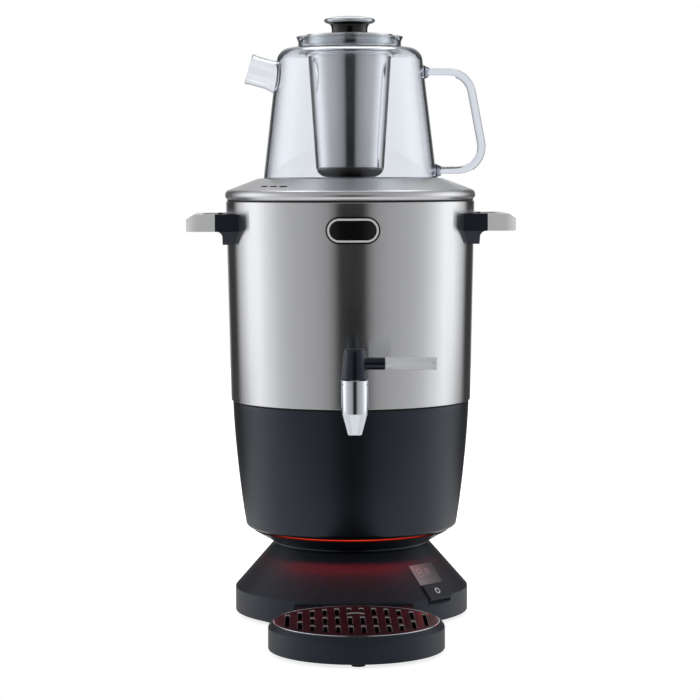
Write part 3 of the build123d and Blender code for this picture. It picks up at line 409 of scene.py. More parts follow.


# Stoved enamel: deep red-black with a soft gloss and the slight peel of a sprayed coat. Faces that are not
# level and lie above the lip height show pale steel: bare metal, and a painted highlight on the slots' rear
# ends.
grille_enamel, tree, shader = start_material("stoved red-black enamel", enamel_red, IOR=1.55)
surface(tree, shader, enamel_peel, (0.26, 0.34), 0.001)
facing = add_node(tree, "SeparateXYZ", {0: add_node(tree, "NewGeometry").outputs["True Normal"]})
height = add_node(tree, "SeparateXYZ", {0: add_node(tree, "TexCoord").outputs["Object"]})
# Painted highlight: pale steel on faces above the lip height that are not level brightens the slots' rear
# ends.
not_level = maths(tree, "COMPARE", facing.outputs["Z"], 0.0, level_face)
upper = maths(tree, "GREATER_THAN", height.outputs["Z"], bare_highlight_lip * mm)
bare_highlight = maths(tree, "MULTIPLY", not_level, upper)
tree.links.new(mixed(tree, bare_highlight, enamel_red, bare_highlight_steel), shader.inputs["Base Color"])
bm = copied("tray_grille")
ease(bm, corners(bm), grille_ease, 2)
new_piece("grille_plate", bm, grille_enamel, "drip_grille", "grille_enamel", "tray_grille")

# Polished chrome plate: a cool mirror with a little haze.
chrome_plate, tree, shader = start_material("polished chrome plate", "D8DDE4", metallic=1.0)
surface(tree, shader, chrome_haze, (0.05, 0.1), 0.001)
trim = band(trim_r, trim_z)
bm = turned(trim, [(top_edge, trim_ease, 2) for top_edge in trim[2:]])
bmesh.ops.translate(bm, vec=tray_centre, verts=bm.verts)
new_piece("grille_ring", bm, chrome_plate, "drip_grille", "chrome", "grille_trim")

# Light ring: a clear polycarbonate ring behind the slot between pan and bowl, lit red from the board inside
# it, and a thin lit strip on the outer wall of a groove in the bowl's sole that throws the glow on the deck.
ring_r = (60.1, 63.5)
sole_z = 68.2
ring_z = (62.4, sole_z)
groove_r = (78.25, 78.8)
groove_z = 69.7
outlet_gap = 0.05
outlet_thickness = 0.2
outlet_end = 68.7
lamp_pitch = 22.0


def lit_polycarbonate(name, strength, low, high):
    """Polycarbonate that glows between two reds, a little uneven from lamp to lamp."""
    material, tree, shader = start_material(name, "5A0A08", IOR=1.58, roughness=0.4,
                                            emission_strength=strength)
    place = add_node(tree, "TexCoord")
    patches = add_node(tree, "TexNoise", {"Vector": place.outputs["Object"], "Scale": 1 / (lamp_pitch * mm)})
    tree.links.new(mixed(tree, patches.outputs[0], low, high), shader.inputs["Emission Color"])
    return material


ring = band(ring_r, ring_z)
ring_glow = lit_polycarbonate("lit polycarbonate", 1.1, "E01C1C", "F0461A")
bm = turned(ring, [(ring[1], 0.4, 2)])
new_piece("glow_ring", bm, ring_glow, "kettle", "light_ring", "light_ring")
outlet_r = (groove_r[1] - outlet_gap - outlet_thickness, groove_r[1] - outlet_gap)
outlet_z = (outlet_end, groove_z - outlet_gap)
outlet_glow = lit_polycarbonate("lit polycarbonate outlet", 170.0, "D8142A", "E01C30")
bm = turned(band(outlet_r, outlet_z))
new_piece("glow_outlet", bm, outlet_glow, "kettle", "light_ring")

# Lower bowl and bottom pan: the black skirt of the kettle, moulded in one from ABS, hides the heater. It
# narrows downwards and turns in over a sharp corner to the light slot. The pan under it stands on the base,
# and a flat seal lies between bowl and steel.
bowl_top = 169.0
bowl_waist = 119.7
sole_inner_r = 58.0
sole_inside = 70.7
satin_grain = 1.1
bowl = [
    (93.6, bowl_top), (91.7, bowl_waist), (83.4, 70.4), (79.3, sole_z), (groove_r[1], sole_z),
    (groove_r[1], groove_z), (groove_r[0], groove_z), (groove_r[0], sole_z), (sole_inner_r, sole_z),
    (sole_inner_r, sole_inside), (78.0, sole_inside), (80.9, 71.7), (87.7, bowl_waist), (91.1, bowl_top),
]

# Satin ABS: blacker and smoother than the base, with a cool sheen.
satin_abs, tree, shader = start_material("satin black ABS", "0A0A0D", specular_ior_level=0.65,
                                         specular_tint=linear(cool_sheen))
surface(tree, shader, satin_grain, (0.26, 0.33), 0.003)
bm = turned(bowl, [(bowl[1], 46, 10), (bowl[2], 1.6, 4), (bowl[3], 0.2, 2), (bowl[0], 0.9, 3)])
new_piece("bowl_skirt", bm, satin_abs, "kettle", "black_plastic", "lower_bowl")
dress(satin_abs, "bottom_pan")
dress(soft_rubber, "bowl_seal")

# Heater: a cast aluminium plate brazed under the tank's floor, with a sheathed ring below it and beside it a
# temperature probe that reaches into the water. The bowl hides them.
cast_grain = 1.5
temper_patch = 3.0

# Cast aluminium: grey, with the fine roughness of the mould.
cast_aluminium, tree, shader = start_material("cast aluminium", "A9ABAE", metallic=1.0)
surface(tree, shader, cast_grain, (0.42, 0.58), 0.02)
dress(cast_aluminium, "heater_plate")

# Heat-tinted steel: brownish from its own heat, in patches.
sheath_steel, tree, shader = start_material("heat-tinted steel", "8F8678", metallic=1.0)
surface(tree, shader, temper_patch, (0.3, 0.45), 0.004)
dress(sheath_steel, "heater_element", "temperature_probe")

# Tank: stainless sheet drawn and rolled to a slightly flared can with a turned-in lip, brushed round its
# outside, so the room draws out into upright bands on it. Its foot drops into the bowl.
tank_wall = 1.0
foot_r = 90.1
foot_z = (157.0, 170.0)
tank_r = (94.9, 98.2)
tank_rim = 327.1
lip_r = 94.2
tank = [
    (0, foot_z[0]), (foot_r, foot_z[0]), (foot_r, foot_z[1]), (tank_r[0], foot_z[1]), (tank_r[1], tank_rim),
    (lip_r, tank_rim), (lip_r, tank_rim - tank_wall), (tank_r[1] - tank_wall, tank_rim - tank_wall),
    (tank_r[0] - tank_wall, foot_z[1] + tank_wall), (foot_r - tank_wall, foot_z[1] + tank_wall),
    (foot_r - tank_wall, foot_z[0] + tank_wall), (0, foot_z[0] + tank_wall),
]
brush_line = 0.8
brush_length = 30.0

# Brushed stainless steel: long fine scratches round the can, which stretch highlights up and down.
brushed_steel, tree, shader = start_material("brushed stainless steel", "CFD0D2", metallic=1.0,
                                             anisotropic=0.8, anisotropic_rotation=0.25)
surface(tree, shader, brush_length, (0.15, 0.22), 0.001, (1, 1, brush_length / brush_line))
bm = turned(tank, [(tank[4], 0.8, 4), (tank[3], 0.5, 2), (tank[1], 5.0, 5), (tank[10], 4.0, 5)], steps=224)
new_piece("steel_tank", bm, brushed_steel, "kettle", "brushed_steel", "tank")

# Side handles: on each side a black ABS bracket screwed to the tank carries a U-shaped grip, die-cast and
# lacquered in satin silver, chamfered along its outer top edge.
grip_x = (105.7, 116.2, 128.19)
grip_y = (34.0, 44.0)
grip_z = (304.0, 317.4)
grip_plan = [
    (grip_x[0], -grip_y[1]), (grip_x[2], -grip_y[1]), (grip_x[2], grip_y[1]), (grip_x[0], grip_y[1]),
    (grip_x[0], grip_y[0]), (grip_x[1], grip_y[0]), (grip_x[1], -grip_y[0]), (grip_x[0], -grip_y[0]),
]
chamfer_run = 6.0
chamfer_drop = 3.8
outer_round = 9.0
inner_round = 3.0
grip_ease = 1.1
lacquer_grain = 1.4


def uprights(bm, least=1.0):
    """The edges that climb by more than that height."""
    return [e for e in bm.edges if abs(e.verts[0].co.z - e.verts[1].co.z) > least]


# Satin silver lacquer: pale grey with fine flakes, more paint than metal.
silver_lacquer, tree, shader = start_material("satin silver lacquer", "F6F7F8", metallic=0.05)
surface(tree, shader, lacquer_grain, (0.38, 0.48), 0.004)
for side in ("right", "left"):
    bm = bmesh.new()
    plan = bm.faces.new([bm.verts.new((x, y, grip_z[0])) for x, y in grip_plan])
    top = bmesh.ops.extrude_face_region(bm, geom=[plan])
    risen = [v for v in top["geom"] if isinstance(v, bmesh.types.BMVert)]
    bmesh.ops.translate(bm, vec=(0, 0, grip_z[1] - grip_z[0]), verts=risen)
    bmesh.ops.recalc_face_normals(bm, faces=bm.faces)
    ease(bm, [e for e in uprights(bm) if e.verts[0].co.x > grip_x[2] - 0.1], outer_round, 8)
    ease(bm, [e for e in uprights(bm) if abs(e.verts[0].co.x - grip_x[1]) < 0.1], inner_round, 4)
    cut = bmesh.ops.bisect_plane(
        bm, geom=bm.verts[:] + bm.edges[:] + bm.faces[:], clear_outer=True,
        plane_co=(grip_x[2], 0, grip_z[1] - chamfer_drop), plane_no=(chamfer_drop, 0, chamfer_run),
    )
    bmesh.ops.edgenet_fill(bm, edges=[e for e in cut["geom_cut"] if isinstance(e, bmesh.types.BMEdge)])
    bmesh.ops.recalc_face_normals(bm, faces=bm.faces)
    off_bracket = [e for e in corners(bm, 20) if max(v.co.x for v in e.verts) > grip_x[0] + 0.1]
    ease(bm, off_bracket, grip_ease)
    if side == "left":
        bmesh.ops.scale(bm, vec=(-1, 1, 1), verts=bm.verts)
        bmesh.ops.reverse_faces(bm, faces=bm.faces)
    new_piece("grip_bar_" + side, bm, silver_lacquer, "kettle", "satin_aluminium", "handle_grip_" + side)
    dress(moulded_abs, "handle_bracket_" + side)

# Badge: a small oval plate, enamelled black and left bare, with a silver rim let into it. It is bonded to the
# front of the tank.
badge_peel = 2.0

# Black enamel: smooth and glossy, with a slight peel.
badge_enamel, tree, shader = start_material("black enamel", "0C0C0F", IOR=1.55)
surface(tree, shader, badge_peel, (0.14, 0.22), 0.003)
dress(badge_enamel, "badge_plate")
dress(silver_lacquer, "badge_rim")

# Tap: a turned and chromed brass body whose flanged neck goes through the tank wall, with sealing washers on
# both sides and a brass nut inside. A chromed plug with an O-ring turns in its barrel.
tap_y = -138.0
tap_z = 184.2
barrel_r = 10.05
barrel_z = (155.7, 196.8)
barrel_groove = (193.3, 194.1)
groove_floor_r = 9.55
cut_past = 0.7
barrel = [
    (0, barrel_z[0]), (5.35, barrel_z[0]), (barrel_r, 172.4), (barrel_r, barrel_groove[0]),
    (groove_floor_r, barrel_groove[0]), (groove_floor_r, barrel_groove[1]), (barrel_r, barrel_groove[1]),
    (barrel_r, barrel_z[1]), (0, barrel_z[1]),
]
bore = stacked(barrel_z[0] - cut_past, (3.6, 176.8), (6.0, barrel_z[1] + cut_past))
neck = stacked(0, (7.0, 37.8), (9.0, 40.8), (6.0, 58.8))
silicone_grain = 1.5
turning_line = 0.5
turning_length = 6.0


def placed(bm, angle, axis, move):
    """Turns a mesh about an axis by that many degrees, then moves it."""
    bmesh.ops.rotate(bm, cent=(0, 0, 0), matrix=Matrix.Rotation(math.radians(angle), 3, axis), verts=bm.verts)
    bmesh.ops.translate(bm, vec=move, verts=bm.verts)
    return bm


bm = turned(barrel, [(barrel[1], 0.5, 3), (barrel[2], 1.2, 4), (barrel[7], 0.8, 3)], steps=96)
stub = turned(neck, [(neck[3], 0.8, 3)], steps=96)
bm = joined(bm, placed(stub, -90, "X", (0, 0, tap_z)), "UNION")
bm = joined(bm, turned(bore, steps=96), "DIFFERENCE")
bmesh.ops.translate(bm, vec=(0, tap_y, 0), verts=bm.verts)
new_piece("tap_spout", bm, chrome_plate, "kettle", "chrome", "tap_body")
dress(chrome_plate, "tap_plug")

# White silicone: soft, matt and a little milky.
silicone, tree, shader = start_material("white silicone", "D8D9D6", IOR=1.42, subsurface_weight=0.2)
surface(tree, shader, silicone_grain, (0.45, 0.6), 0.006)
dress(silicone, "tap_outer_washer", "tap_inner_washer", "tap_oring")

# Turned brass: warm yellow, with the lathe's fine rings.
turned_brass, tree, shader = start_material("turned brass", "C9A45C", metallic=1.0)
surface(tree, shader, turning_length, (0.2, 0.32), 0.003, (1, 1, turning_length / turning_line))
dress(turned_brass, "tap_nut")

# Tap lever: a black ABS bonnet that caps the plug, with a stem to the right. A knurled silver grip is pushed
# on the stem, with a smooth bead and a groove at each end of the knurl.
bonnet_z = (197.3, 220.5)
bonnet = [(0, bonnet_z[0]), (10.0, bonnet_z[0]), (7.7, bonnet_z[1]), (0, bonnet_z[1])]
arm_z = 208.7
arm = stacked(0, (4.6, 22.35))
grip_span = (22.4, 60.9)
grip_bore_r = 3.5
grip_bore_end = 57.5
grip_end_r = 4.2
bead_r = 4.8
bead_groove_r = 4.4
knurl_r = 4.5
knurl_span = (27.0, 56.6)
knurl_columns = 26
knurl_rows = 25
knurl_height = 0.3
knurl_grain = 0.9
grip = [
    (grip_bore_r, grip_span[0]), (grip_end_r, grip_span[0]), (bead_r, 23.0), (bead_r, 26.0),
    (bead_groove_r, 26.2), (bead_groove_r, 26.8), (knurl_r, knurl_span[0]), (knurl_r, knurl_span[1]),
    (bead_groove_r, 56.8), (bead_groove_r, 57.4), (bead_r, 57.6), (bead_r, 60.3),
    (grip_end_r, grip_span[1]), (0, grip_span[1]), (0, grip_bore_end), (grip_bore_r, grip_bore_end),
]
bm = turned(bonnet, [(bonnet[2], 3.4, 6), (bonnet[1], 0.6, 2)], steps=96)
lever_stem = turned(arm, [(arm[2], 0.4, 2)], steps=64)
bm = joined(bm, placed(lever_stem, 90, "Y", (0, 0, arm_z)), "UNION")
bmesh.ops.translate(bm, vec=(0, tap_y, 0), verts=bm.verts)
new_piece("lever_bonnet", bm, satin_abs, "tap_handle", "black_plastic", "tap_lever")

# Knurled aluminium: pale and clear-coated, so it shines more than it mirrors.
knurled_aluminium, tree, shader = start_material("knurled aluminium", "F2F4F7", metallic=0.12)
surface(tree, shader, knurl_grain, (0.28, 0.36), 0.002)
bm = turned(grip, steps=knurl_columns)
outside_r = (grip_bore_r + knurl_r) / 2
lengthwise = [e for e in uprights(bm, 20) if e.verts[0].co.xy.length > outside_r]
bmesh.ops.subdivide_edges(bm, edges=lengthwise, cuts=knurl_rows - 1, use_grid_fill=True)
centres = [(f, f.calc_center_median()) for f in bm.faces]
teeth = [f for f, c in centres if knurl_span[0] < c.z < knurl_span[1] and c.xy.length > outside_r]
bmesh.ops.poke(bm, faces=teeth, offset=knurl_height)
placed(bm, 90, "Y", (0, tap_y, arm_z))
new_piece("knurled_grip", bm, knurled_aluminium, "tap_handle", "satin_aluminium", "lever_grip")

# Tank lid: pressed stainless steel with a rolled bead at its rim, a sloping shoulder with three steam slots,
# and a flat-bottomed well for the teapot. Black sleeves line the slots over a baffle ring, and a plastic
# liner with a soft gasket drops into the tank.
lid_wall = 1.2
lid_low = 328.4
lid_inner_r = 94.5
bead_flat_r = 97.2
lid_r = 98.9
crown_z = 345.0
well_r = 70.5
well_floor = 338.3
hole_r = 8.0
lid = [
    (lid_inner_r, lid_low), (bead_flat_r, lid_low), (lid_r, 330.2), (lid_r, 333.4), (bead_flat_r, 335.6),
    (72.4, crown_z), (well_r, crown_z), (well_r, well_floor), (hole_r, well_floor),
    (hole_r, well_floor - lid_wall), (well_r + lid_wall, well_floor - lid_wall), (well_r + lid_wall, 343.6),
    (lid_inner_r, 334.9),
]
slot_size = (2.6, 7.6, 16.0)
slot_r = 88.0
slot_z = 339.0
slot_angles = (-139.6, -133.0, -126.4)
sleeve_wall = 0.6
hair = 0.02
baffle_wall = 0.6
baffle_r = (82.0, 91.0)
baffle_z = (339.2, 335.8)
polish_wave = 12.0


def slot_tool(angle, shrink):
    """A block with round ends that stands through the lid's slope at a steam slot."""
    half = [(s - shrink) / 2 for s in slot_size]
    tool = block([-h for h in half], half)
    ease(tool, uprights(tool), half[0] - hair, 5)
    bmesh.ops.translate(tool, vec=(slot_r, 0, slot_z), verts=tool.verts)
    return placed(tool, angle, "Z", (0, 0, 0))


# Polished stainless steel: bright, with a soft haze from the polishing wheel.
polished_steel, tree, shader = start_material("polished stainless steel", "D2D3D5", metallic=1.0)
surface(tree, shader, polish_wave, (0.26, 0.34), 0.002)
bm = turned(lid, [
    (lid[2], 1.6, 4), (lid[3], 1.8, 4), (lid[4], 1.2, 4), (lid[5], 1.2, 3), (lid[6], 0.6, 3),
    (lid[7], 2.0, 4),
], steps=200)
for i, angle in enumerate(slot_angles):
    sleeve = joined(slot_tool(angle, hair), bm.copy(), "INTERSECT")
    sleeve = joined(sleeve, slot_tool(angle, sleeve_wall), "DIFFERENCE")
    new_piece("vent_liner_%d" % (i + 1), sleeve, plain_abs, "tank_lid", "black_plastic")
    bm = joined(bm, slot_tool(angle, 0), "DIFFERENCE")
new_piece("steel_lid", bm, polished_steel, "tank_lid", "plain_steel", "lid_cover")
baffle = list(zip(baffle_r, baffle_z))
baffle += [(r, z - baffle_wall) for r, z in reversed(baffle)]
bm = turned(baffle, steps=120)
new_piece("steam_baffle", bm, plain_abs, "tank_lid", "black_plastic")
dress(plain_abs, "lid_liner")
dress(soft_rubber, "lid_gasket")

# Teapot: blown borosilicate glass, a tapered pot with a drawn neck that stands in the lid's well. A short
# spout and a rod handle were fused on hot, so their roots flow into the wall.
pot_floor = 340.8
pot_foot = 348.0
pot_neck_r = (38.4, 40.5)
pot_neck_z = 452.0
pot_top = 456.0
pot_out = [
    (0, well_floor), (68.6, well_floor), (68.0, pot_foot), (56.4, 446.0), (pot_neck_r[1], 448.4),
    (pot_neck_r[1], pot_neck_z), (42.3, pot_top), (0, pot_top),
]
pot_in = [
    (0, pot_floor), (66.2, pot_floor), (65.8, pot_foot), (54.6, 444.0), (pot_neck_r[0], 446.6),
    (pot_neck_r[0], pot_neck_z), (40.3, pot_top + 1), (0, pot_top + 1),
]
spout_r = (9.8, 11.6)
spout_flare = (-2.0, 4.0)
spout_out_z = (-14.0, 20.4)
spout_bore_z = (-16.0, 21.0)
spout_lip_r = 12.1
spout_out = [
    (0, spout_out_z[0]), (15.0, spout_out_z[0]), (12.8, spout_flare[0]), (spout_r[1], spout_flare[1]),
    (spout_r[1], 17.0), (spout_lip_r, 18.4), (spout_lip_r, 19.6), (spout_r[1], spout_out_z[1]),
    (0, spout_out_z[1]),
]
spout_bore = [
    (0, spout_bore_z[0]), (13.6, spout_bore_z[0]), (11.0, spout_flare[0]), (spout_r[0], spout_flare[1]),
    (spout_r[0], 18.0), (10.4, spout_bore_z[1]), (0, spout_bore_z[1]),
]
spout_root = (-60.0, 0, 425.4)
spout_slope = 16.0
rod_r = 3.3
rod_bend = 19.0
rod_top = (93.5, 428.0)
rod_low = (107.8, 350.5)
root_x = 50.0
root_swell = 1.7
root_depth = (8.5, 8.0)
root_taper = ((2.5, 0.76), (3.0, 0.774))
low_root_x = 73.5
glass_tint = "B8C6DA"
glass_density = 105.0
blow_wave = 38.0
blow_depth = 0.12

# Borosilicate glass: clear, faintly blue through its thickness, with the slow waver of blown walls.
borosilicate, tree, shader = start_material("borosilicate glass", "FFFFFF", IOR=1.47, roughness=0.0,
                                            transmission_weight=1.0)
tint = add_node(tree, "VolumeAbsorption", {"Color": linear(glass_tint), "Density": glass_density})
tree.links.new(tint.outputs[0], tree.nodes["Material Output"].inputs["Volume"])
ripple = add_node(tree, "TexNoise", {
    "Vector": add_node(tree, "TexCoord").outputs["Object"], "Scale": 1 / (blow_wave * mm), "Detail": 1.0,
})
waver = add_node(tree, "Bump", {"Height": ripple.outputs[0], "Strength": 1.0, "Distance": blow_depth * mm})
tree.links.new(waver.outputs[0], shader.inputs["Normal"])


def on_spout(outline, rounds=()):
    """A mesh turned about the spout's own axis."""
    return placed(turned(outline, rounds, steps=80), spout_slope - 90, "Y", spout_root)


fall = Vector((rod_low[0] - rod_top[0], rod_low[1] - rod_top[1]))
top_turn = math.acos(fall.normalized().x)
low_turn = math.pi - top_turn
runs = [rod_bend * math.tan(turn / 2) for turn in (top_turn, low_turn)]
rod = bmesh.new()
bmesh.ops.create_circle(rod, cap_ends=True, radius=rod_r, segments=32)
placed(rod, 90, "Y", (root_x, 0, rod_top[1]))


def lengthen(end, move, scale=1.0):
    """Draws the rod's end face out, and swells or thins it."""
    drawn = bmesh.ops.extrude_face_region(rod, geom=end)["geom"]
    face = [f for f in drawn if isinstance(f, bmesh.types.BMFace)]
    bmesh.ops.delete(rod, geom=end, context="FACES_ONLY")
    bmesh.ops.translate(rod, vec=move, verts=face[0].verts)
    bmesh.ops.scale(rod, vec=(scale, scale, scale), verts=face[0].verts,
                    space=Matrix.Translation(-face[0].calc_center_median()))
    return face


def bend(end, centre, angle):
    """Carries the rod's end face round a bend."""
    swept = bmesh.ops.spin(rod, geom=end, cent=centre, axis=(0, 1, 0), angle=angle, steps=14)
    return [f for f in swept["geom_last"] if isinstance(f, bmesh.types.BMFace)]


bmesh.ops.scale(rod, vec=(root_swell, root_swell, root_swell), verts=rod.verts,
                space=Matrix.Translation((-root_x, 0, -rod_top[1])))
end = lengthen(rod.faces[:], (root_depth[0], 0, 0))
for step, scale in root_taper:
    end = lengthen(end, (step, 0, 0), scale)
tapered_x = root_x + root_depth[0] + sum(step for step, scale in root_taper)
end = lengthen(end, (rod_top[0] - runs[0] - tapered_x, 0, 0))
end = bend(end, (rod_top[0] - runs[0], 0, rod_top[1] - rod_bend), top_turn)
end = lengthen(end, Vector((fall.x, 0, fall.y)).normalized() * (fall.length - sum(runs)))
end = bend(end, (rod_low[0] - runs[1], 0, rod_low[1] + rod_bend), low_turn)
end = lengthen(end, (low_root_x - (rod_low[0] - runs[1]), 0, 0))
for step, scale in reversed(root_taper):
    end = lengthen(end, (-step, 0, 0), 1 / scale)
lengthen(end, (-root_depth[1], 0, 0))
bmesh.ops.holes_fill(rod, edges=rod.edges)
bmesh.ops.recalc_face_normals(rod, faces=rod.faces)
bm = turned(pot_out, [
    (pot_out[1], 6.0, 6), (pot_out[3], 8.0, 8), (pot_out[4], 1.2, 4), (pot_out[6], 0.8, 4),
], steps=192)
bm = joined(bm, on_spout(spout_out, [(spout_out[2], 3.0, 4)]), "UNION")
bm = joined(bm, rod, "UNION")
hollow = turned(pot_in, [(pot_in[1], 4.0, 6), (pot_in[3], 7.0, 8), (pot_in[4], 1.2, 4)], steps=192)
hollow = joined(hollow, on_spout(spout_bore), "UNION")
bm = joined(bm, hollow, "DIFFERENCE")
new_piece("glass_pot", bm, borosilicate, "teapot", "glass", "teapot_body", "teapot_spout", "teapot_handle")

# Infuser: a deep-drawn stainless basket with a bead below the neck and a flange at its top. It hangs in the
# pot by a translucent silicone collar that seals it in the neck.
basket_wall = 0.8
basket_floor = 345.4
basket_r = (26.4, 32.9)
basket_bead_r = 35.2
basket_neck_r = 33.0
flange_r = 34.4
flange_top = 456.6
basket = [
    (0, basket_floor), (basket_r[0], basket_floor), (basket_r[1], 443.0), (basket_bead_r, 443.8),
    (basket_bead_r, 447.6), (basket_neck_r, 448.4), (basket_neck_r, flange_top - basket_wall),
    (flange_r, flange_top - basket_wall), (flange_r, flange_top), (basket_neck_r - basket_wall, flange_top),
    (basket_neck_r - basket_wall, 448.0), (basket_bead_r - basket_wall, 447.2),
    (basket_bead_r - basket_wall, 444.4), (basket_r[1] - basket_wall, 443.4),
    (basket_r[0] - basket_wall, basket_floor + basket_wall), (0, basket_floor + basket_wall),
]
collar_r = (basket_neck_r + 0.05, 38.2)
collar_z = (449.4, flange_top - basket_wall)
collar = [
    (collar_r[0], collar_z[0]), (collar_r[1], collar_z[0]), (collar_r[1], 451.7), (40.0, collar_z[1]),
    (collar_r[0], collar_z[1]),
]
fine_line = 0.75
fine_length = 18.0
collar_grain = 2.0

# Fine-brushed stainless steel: brighter and finer than the tank.
basket_steel, tree, shader = start_material("fine-brushed stainless steel", "DEDFE1", metallic=1.0,
                                            anisotropic=0.6, anisotropic_rotation=0.25)
surface(tree, shader, fine_length, (0.12, 0.18), 0.001, (1, 1, fine_length / fine_line))
bm = turned(basket, [
    (basket[1], 8.5, 8), (basket[14], 7.8, 8), (basket[3], 1.0, 3), (basket[4], 1.0, 3), (basket[8], 0.3, 2),
])
new_piece("steel_basket", bm, basket_steel, "infuser", "plain_steel", "infuser_basket")

# Translucent silicone: almost clear against the glass that it is pressed to, so it bends light little.
clear_silicone, tree, shader = start_material("translucent silicone", "F2F5F6", IOR=1.12,
                                              transmission_weight=1.0)
surface(tree, shader, collar_grain, (0.0, 0.03), 0.001)
bm = turned(collar, [(collar[3], 0.4, 2), (collar[4], 0.3, 2)])
new_piece("neck_collar", bm, clear_silicone, "infuser", "silicone", "infuser_collar")

# Teapot lid: a spun steel disc with a plug that drops into the infuser, a flared black knob screwed on, and a
# shallow chromed cap on the knob.
screw_r = 2.0
plug_r = (30.7, 31.9)
plug_low = 450.0
disc_r = 34.0
disc_z = (458.1, 459.3)
knob_r = 14.1
knob_lip_r = 19.2
knob_top = 466.9
pot_lid = [
    (screw_r, disc_z[0]), (knob_r, disc_z[0]), (plug_r[0], flange_top), (plug_r[0], plug_low),
    (plug_r[1], plug_low), (plug_r[1], flange_top), (disc_r, flange_top), (disc_r, 457.6),
    (knob_r, disc_z[1]), (screw_r, disc_z[1]),
]
knob = [
    (screw_r, disc_z[1]), (knob_r, disc_z[1]), (knob_r, 463.7), (15.4, 465.5), (knob_lip_r, knob_top),
    (screw_r, knob_top),
]
cap = [(0, knob_top), (knob_lip_r, knob_top), (20.3, 468.4), (19.6, 469.8), (14.0, 471.6), (0, 472.5)]
phenolic_grain = 2.5
bm = turned(pot_lid, [(pot_lid[7], 0.3, 2), (pot_lid[4], 0.3, 2)])
new_piece("lid_disc", bm, basket_steel, "teapot_lid", "plain_steel", "pot_lid")

# Phenolic: a hard black moulding compound with a deep gloss.
phenolic, tree, shader = start_material("black phenolic", "08080A", IOR=1.5)
surface(tree, shader, phenolic_grain, (0.1, 0.16), 0.002)
bm = turned(knob, [(knob[2], 2.0, 4), (knob[3], 1.6, 4), (knob[4], 0.2, 2)], steps=120)
new_piece("black_knob", bm, phenolic, "teapot_lid", "black_plastic", "lid_knob")
bm = turned(cap, [(cap[2], 0.3, 3), (cap[3], 0.5, 3), (cap[4], 5.0, 6), (cap[1], 0.3, 2)], steps=120)
new_piece("chrome_cap", bm, chrome_plate, "teapot_lid", "chrome", "knob_cap")

# Studio table: a white laminate top that ends out of view in front, where a dark camera bay gives the dark
# band down the middle of every bright surface. Sizes are in metres.
table_x = (-1.6, 1.6)
table_y = (-0.3, 2.4)
laminate_white = "F4F4F4"
laminate_shaded = "606062"
seen_lift = 0.78
mirrored_lift = 0.3
far_y = (0.12, 0.5)
bm = bmesh.new()
bmesh.ops.create_grid(bm, x_segments=1, y_segments=1, size=0.5)
bmesh.ops.scale(bm, vec=(table_x[1] - table_x[0], table_y[1] - table_y[0], 1), verts=bm.verts)
bmesh.ops.translate(bm, vec=(0, sum(table_y) / 2, 0), verts=bm.verts)
mesh = bpy.data.meshes.new("table")
bm.to_mesh(mesh)
bm.free()
table = bpy.data.objects.new("table", mesh)
bpy.context.scene.collection.objects.link(table)

# White laminate: lit evenly where it is seen straight on or through glass. In mirrors it glows a little near
# the object and turns grey far behind it.
white_laminate, tree, shader = start_material("white laminate", laminate_white, IOR=1.25, roughness=0.08,
                                              emission_color=linear("FFFFFF"))
seen = add_node(tree, "LightPath")
spot = add_node(tree, "SeparateXYZ", {0: add_node(tree, "TexCoord").outputs["Object"]})
behind = add_node(tree, "MapRange", {"Value": spot.outputs["Y"], "From Min": far_y[0], "From Max": far_y[1]})
straight_on = maths(tree, "MAXIMUM", seen.outputs["Is Camera Ray"], seen.outputs["Is Transmission Ray"])
mirrored = seen.outputs["Is Glossy Ray"]
far_mirrored = maths(tree, "MULTIPLY", mirrored, behind.outputs[0])
near_mirrored = maths(tree, "SUBTRACT", mirrored, far_mirrored)
mirrored_glow = maths(tree, "MULTIPLY", near_mirrored, mirrored_lift)
lift = maths(tree, "MULTIPLY_ADD", straight_on, seen_lift, mirrored_glow)
tree.links.new(lift, shader.inputs["Emission Strength"])
tree.links.new(mixed(tree, far_mirrored, laminate_white, laminate_shaded), shader.inputs["Base Color"])
table.data.materials.append(white_laminate)

# Studio light: tall soft boxes on both sides that fade towards the dark bay in front, dark flags behind them,
# a faint light at the back, and a softbox overhead. The camera sees plain white, and glass a pale backdrop.
# Wall stops are (turn from the front in degrees, level), zones (rise where they start, are full, level).
wall_stops = [
    (0, 0.03), (11, 0.03), (16, 0.22), (22, 0.38), (30, 0.45), (39, 0.50), (49, 0.55), (60, 0.61), (71, 0.73),
    (84, 1.03), (97, 1.42), (111, 1.42), (128, 0.71), (138, 0.05), (158, 0.05), (170, 0.40), (180, 0.75),
]
upper_wall = (0.42, 0.6, 0.50)
ceiling = (0.8, 0.95, 0.20)
sweep = (-0.42, -0.55, 0.95)
ramp_scale = 2.0
backdrop_y = (0.68, 0.97)
backdrop_level = (0.45, 1.0)
world = bpy.data.worlds.new("studio")
world.use_nodes = True
tree = world.node_tree
bpy.context.scene.world = world
way = add_node(tree, "SeparateXYZ", {0: add_node(tree, "TexCoord").outputs["Generated"]})
flat = add_node(tree, "CombineXYZ", {"X": way.outputs["X"], "Y": way.outputs["Y"]})
level_way = add_node(tree, "VectorMath", {0: flat.outputs[0]}, operation="NORMALIZE")
front = add_node(tree, "VectorMath", {0: level_way.outputs[0], 1: (0, 0.5, 0)}, operation="DOT_PRODUCT")
around = maths(tree, "ADD", front.outputs["Value"], 0.5)
stops = [((1 - math.cos(math.radians(turn))) / 2, level / ramp_scale) for turn, level in wall_stops]
room = add_node(tree, "ValToRGB", {0: around}, stops)
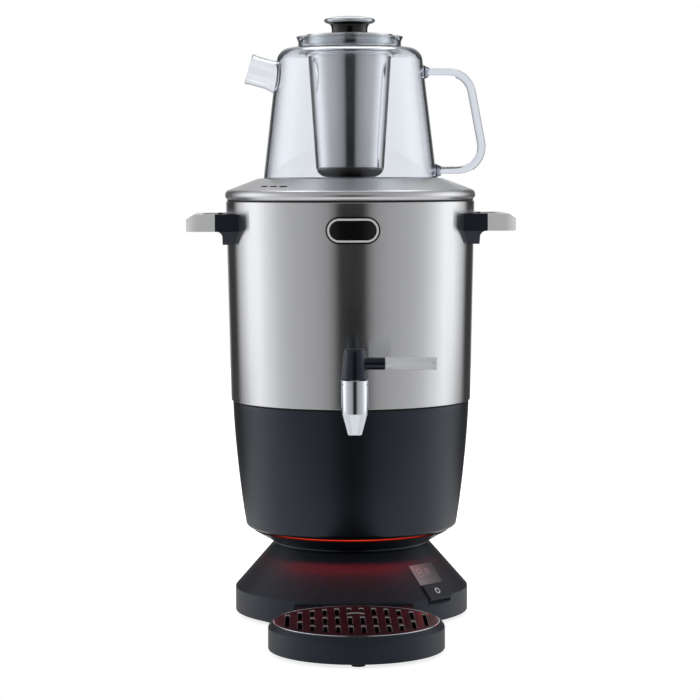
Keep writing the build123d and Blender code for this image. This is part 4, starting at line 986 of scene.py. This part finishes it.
for low, high, level in (upper_wall, ceiling, sweep):
    zone = add_node(tree, "MapRange", {"Value": way.outputs["Z"], "From Min": low, "From Max": high},
                    interpolation_type="SMOOTHSTEP")
    room = add_node(tree, "Mix", {0: zone.outputs[0], 2: room.outputs[0], 3: level / ramp_scale})
strength = maths(tree, "MULTIPLY", room.outputs[0], ramp_scale)
seen = add_node(tree, "LightPath")
unmirrored = maths(tree, "LESS_THAN", seen.outputs["Glossy Depth"], 0.5)
through = maths(tree, "MULTIPLY", seen.outputs["Is Transmission Ray"], unmirrored)
backdrop = add_node(tree, "MapRange", {
    "Value": way.outputs["Y"], "From Min": backdrop_y[0], "From Max": backdrop_y[1],
    "To Min": backdrop_level[0], "To Max": backdrop_level[1],
})
glazed = add_node(tree, "Mix", {0: through, 2: strength, 3: backdrop.outputs[0]})
shown = add_node(tree, "Mix", {0: seen.outputs["Is Camera Ray"], 2: glazed.outputs[0], 3: 1.0})
tree.links.new(shown.outputs[0], tree.nodes["Background"].inputs["Strength"])
tree.nodes["Background"].inputs["Color"].default_value = linear("FFFFFF")
softbox = bpy.data.lights.new("ceiling softbox", "AREA")
softbox.shape = "RECTANGLE"
softbox.size = 1.2
softbox.size_y = 1.0
softbox.energy = 8.0
lamp = bpy.data.objects.new("ceiling softbox", softbox)
lamp.location = (0, 0.75, 1.6)
bpy.context.scene.collection.objects.link(lamp)

# Camera: a long lens nearly two metres in front, at the height of the kettle's lid, aimed at the kettle's
# axis and tipped down a little. Places are in metres, angles in degrees.
camera_place = (-0.041, -1.9466, 0.353)
camera_tip = 4.24
camera_pan = 0.016
camera_roll = -0.2
view = bpy.data.cameras.new("camera")
view.sensor_width = 36.0
view.lens = 126.3
camera = bpy.data.objects.new("camera", view)
camera.location = camera_place
facing_axis = math.atan2(camera_place[0], -camera_place[1])
camera.rotation_euler = (math.radians(90 - camera_tip), 0, facing_axis + math.radians(camera_pan))
camera.rotation_euler.rotate_axis("Z", math.radians(camera_roll))
bpy.context.scene.collection.objects.link(camera)
bpy.context.scene.camera = camera
bpy.context.scene.view_settings.view_transform = "Standard"
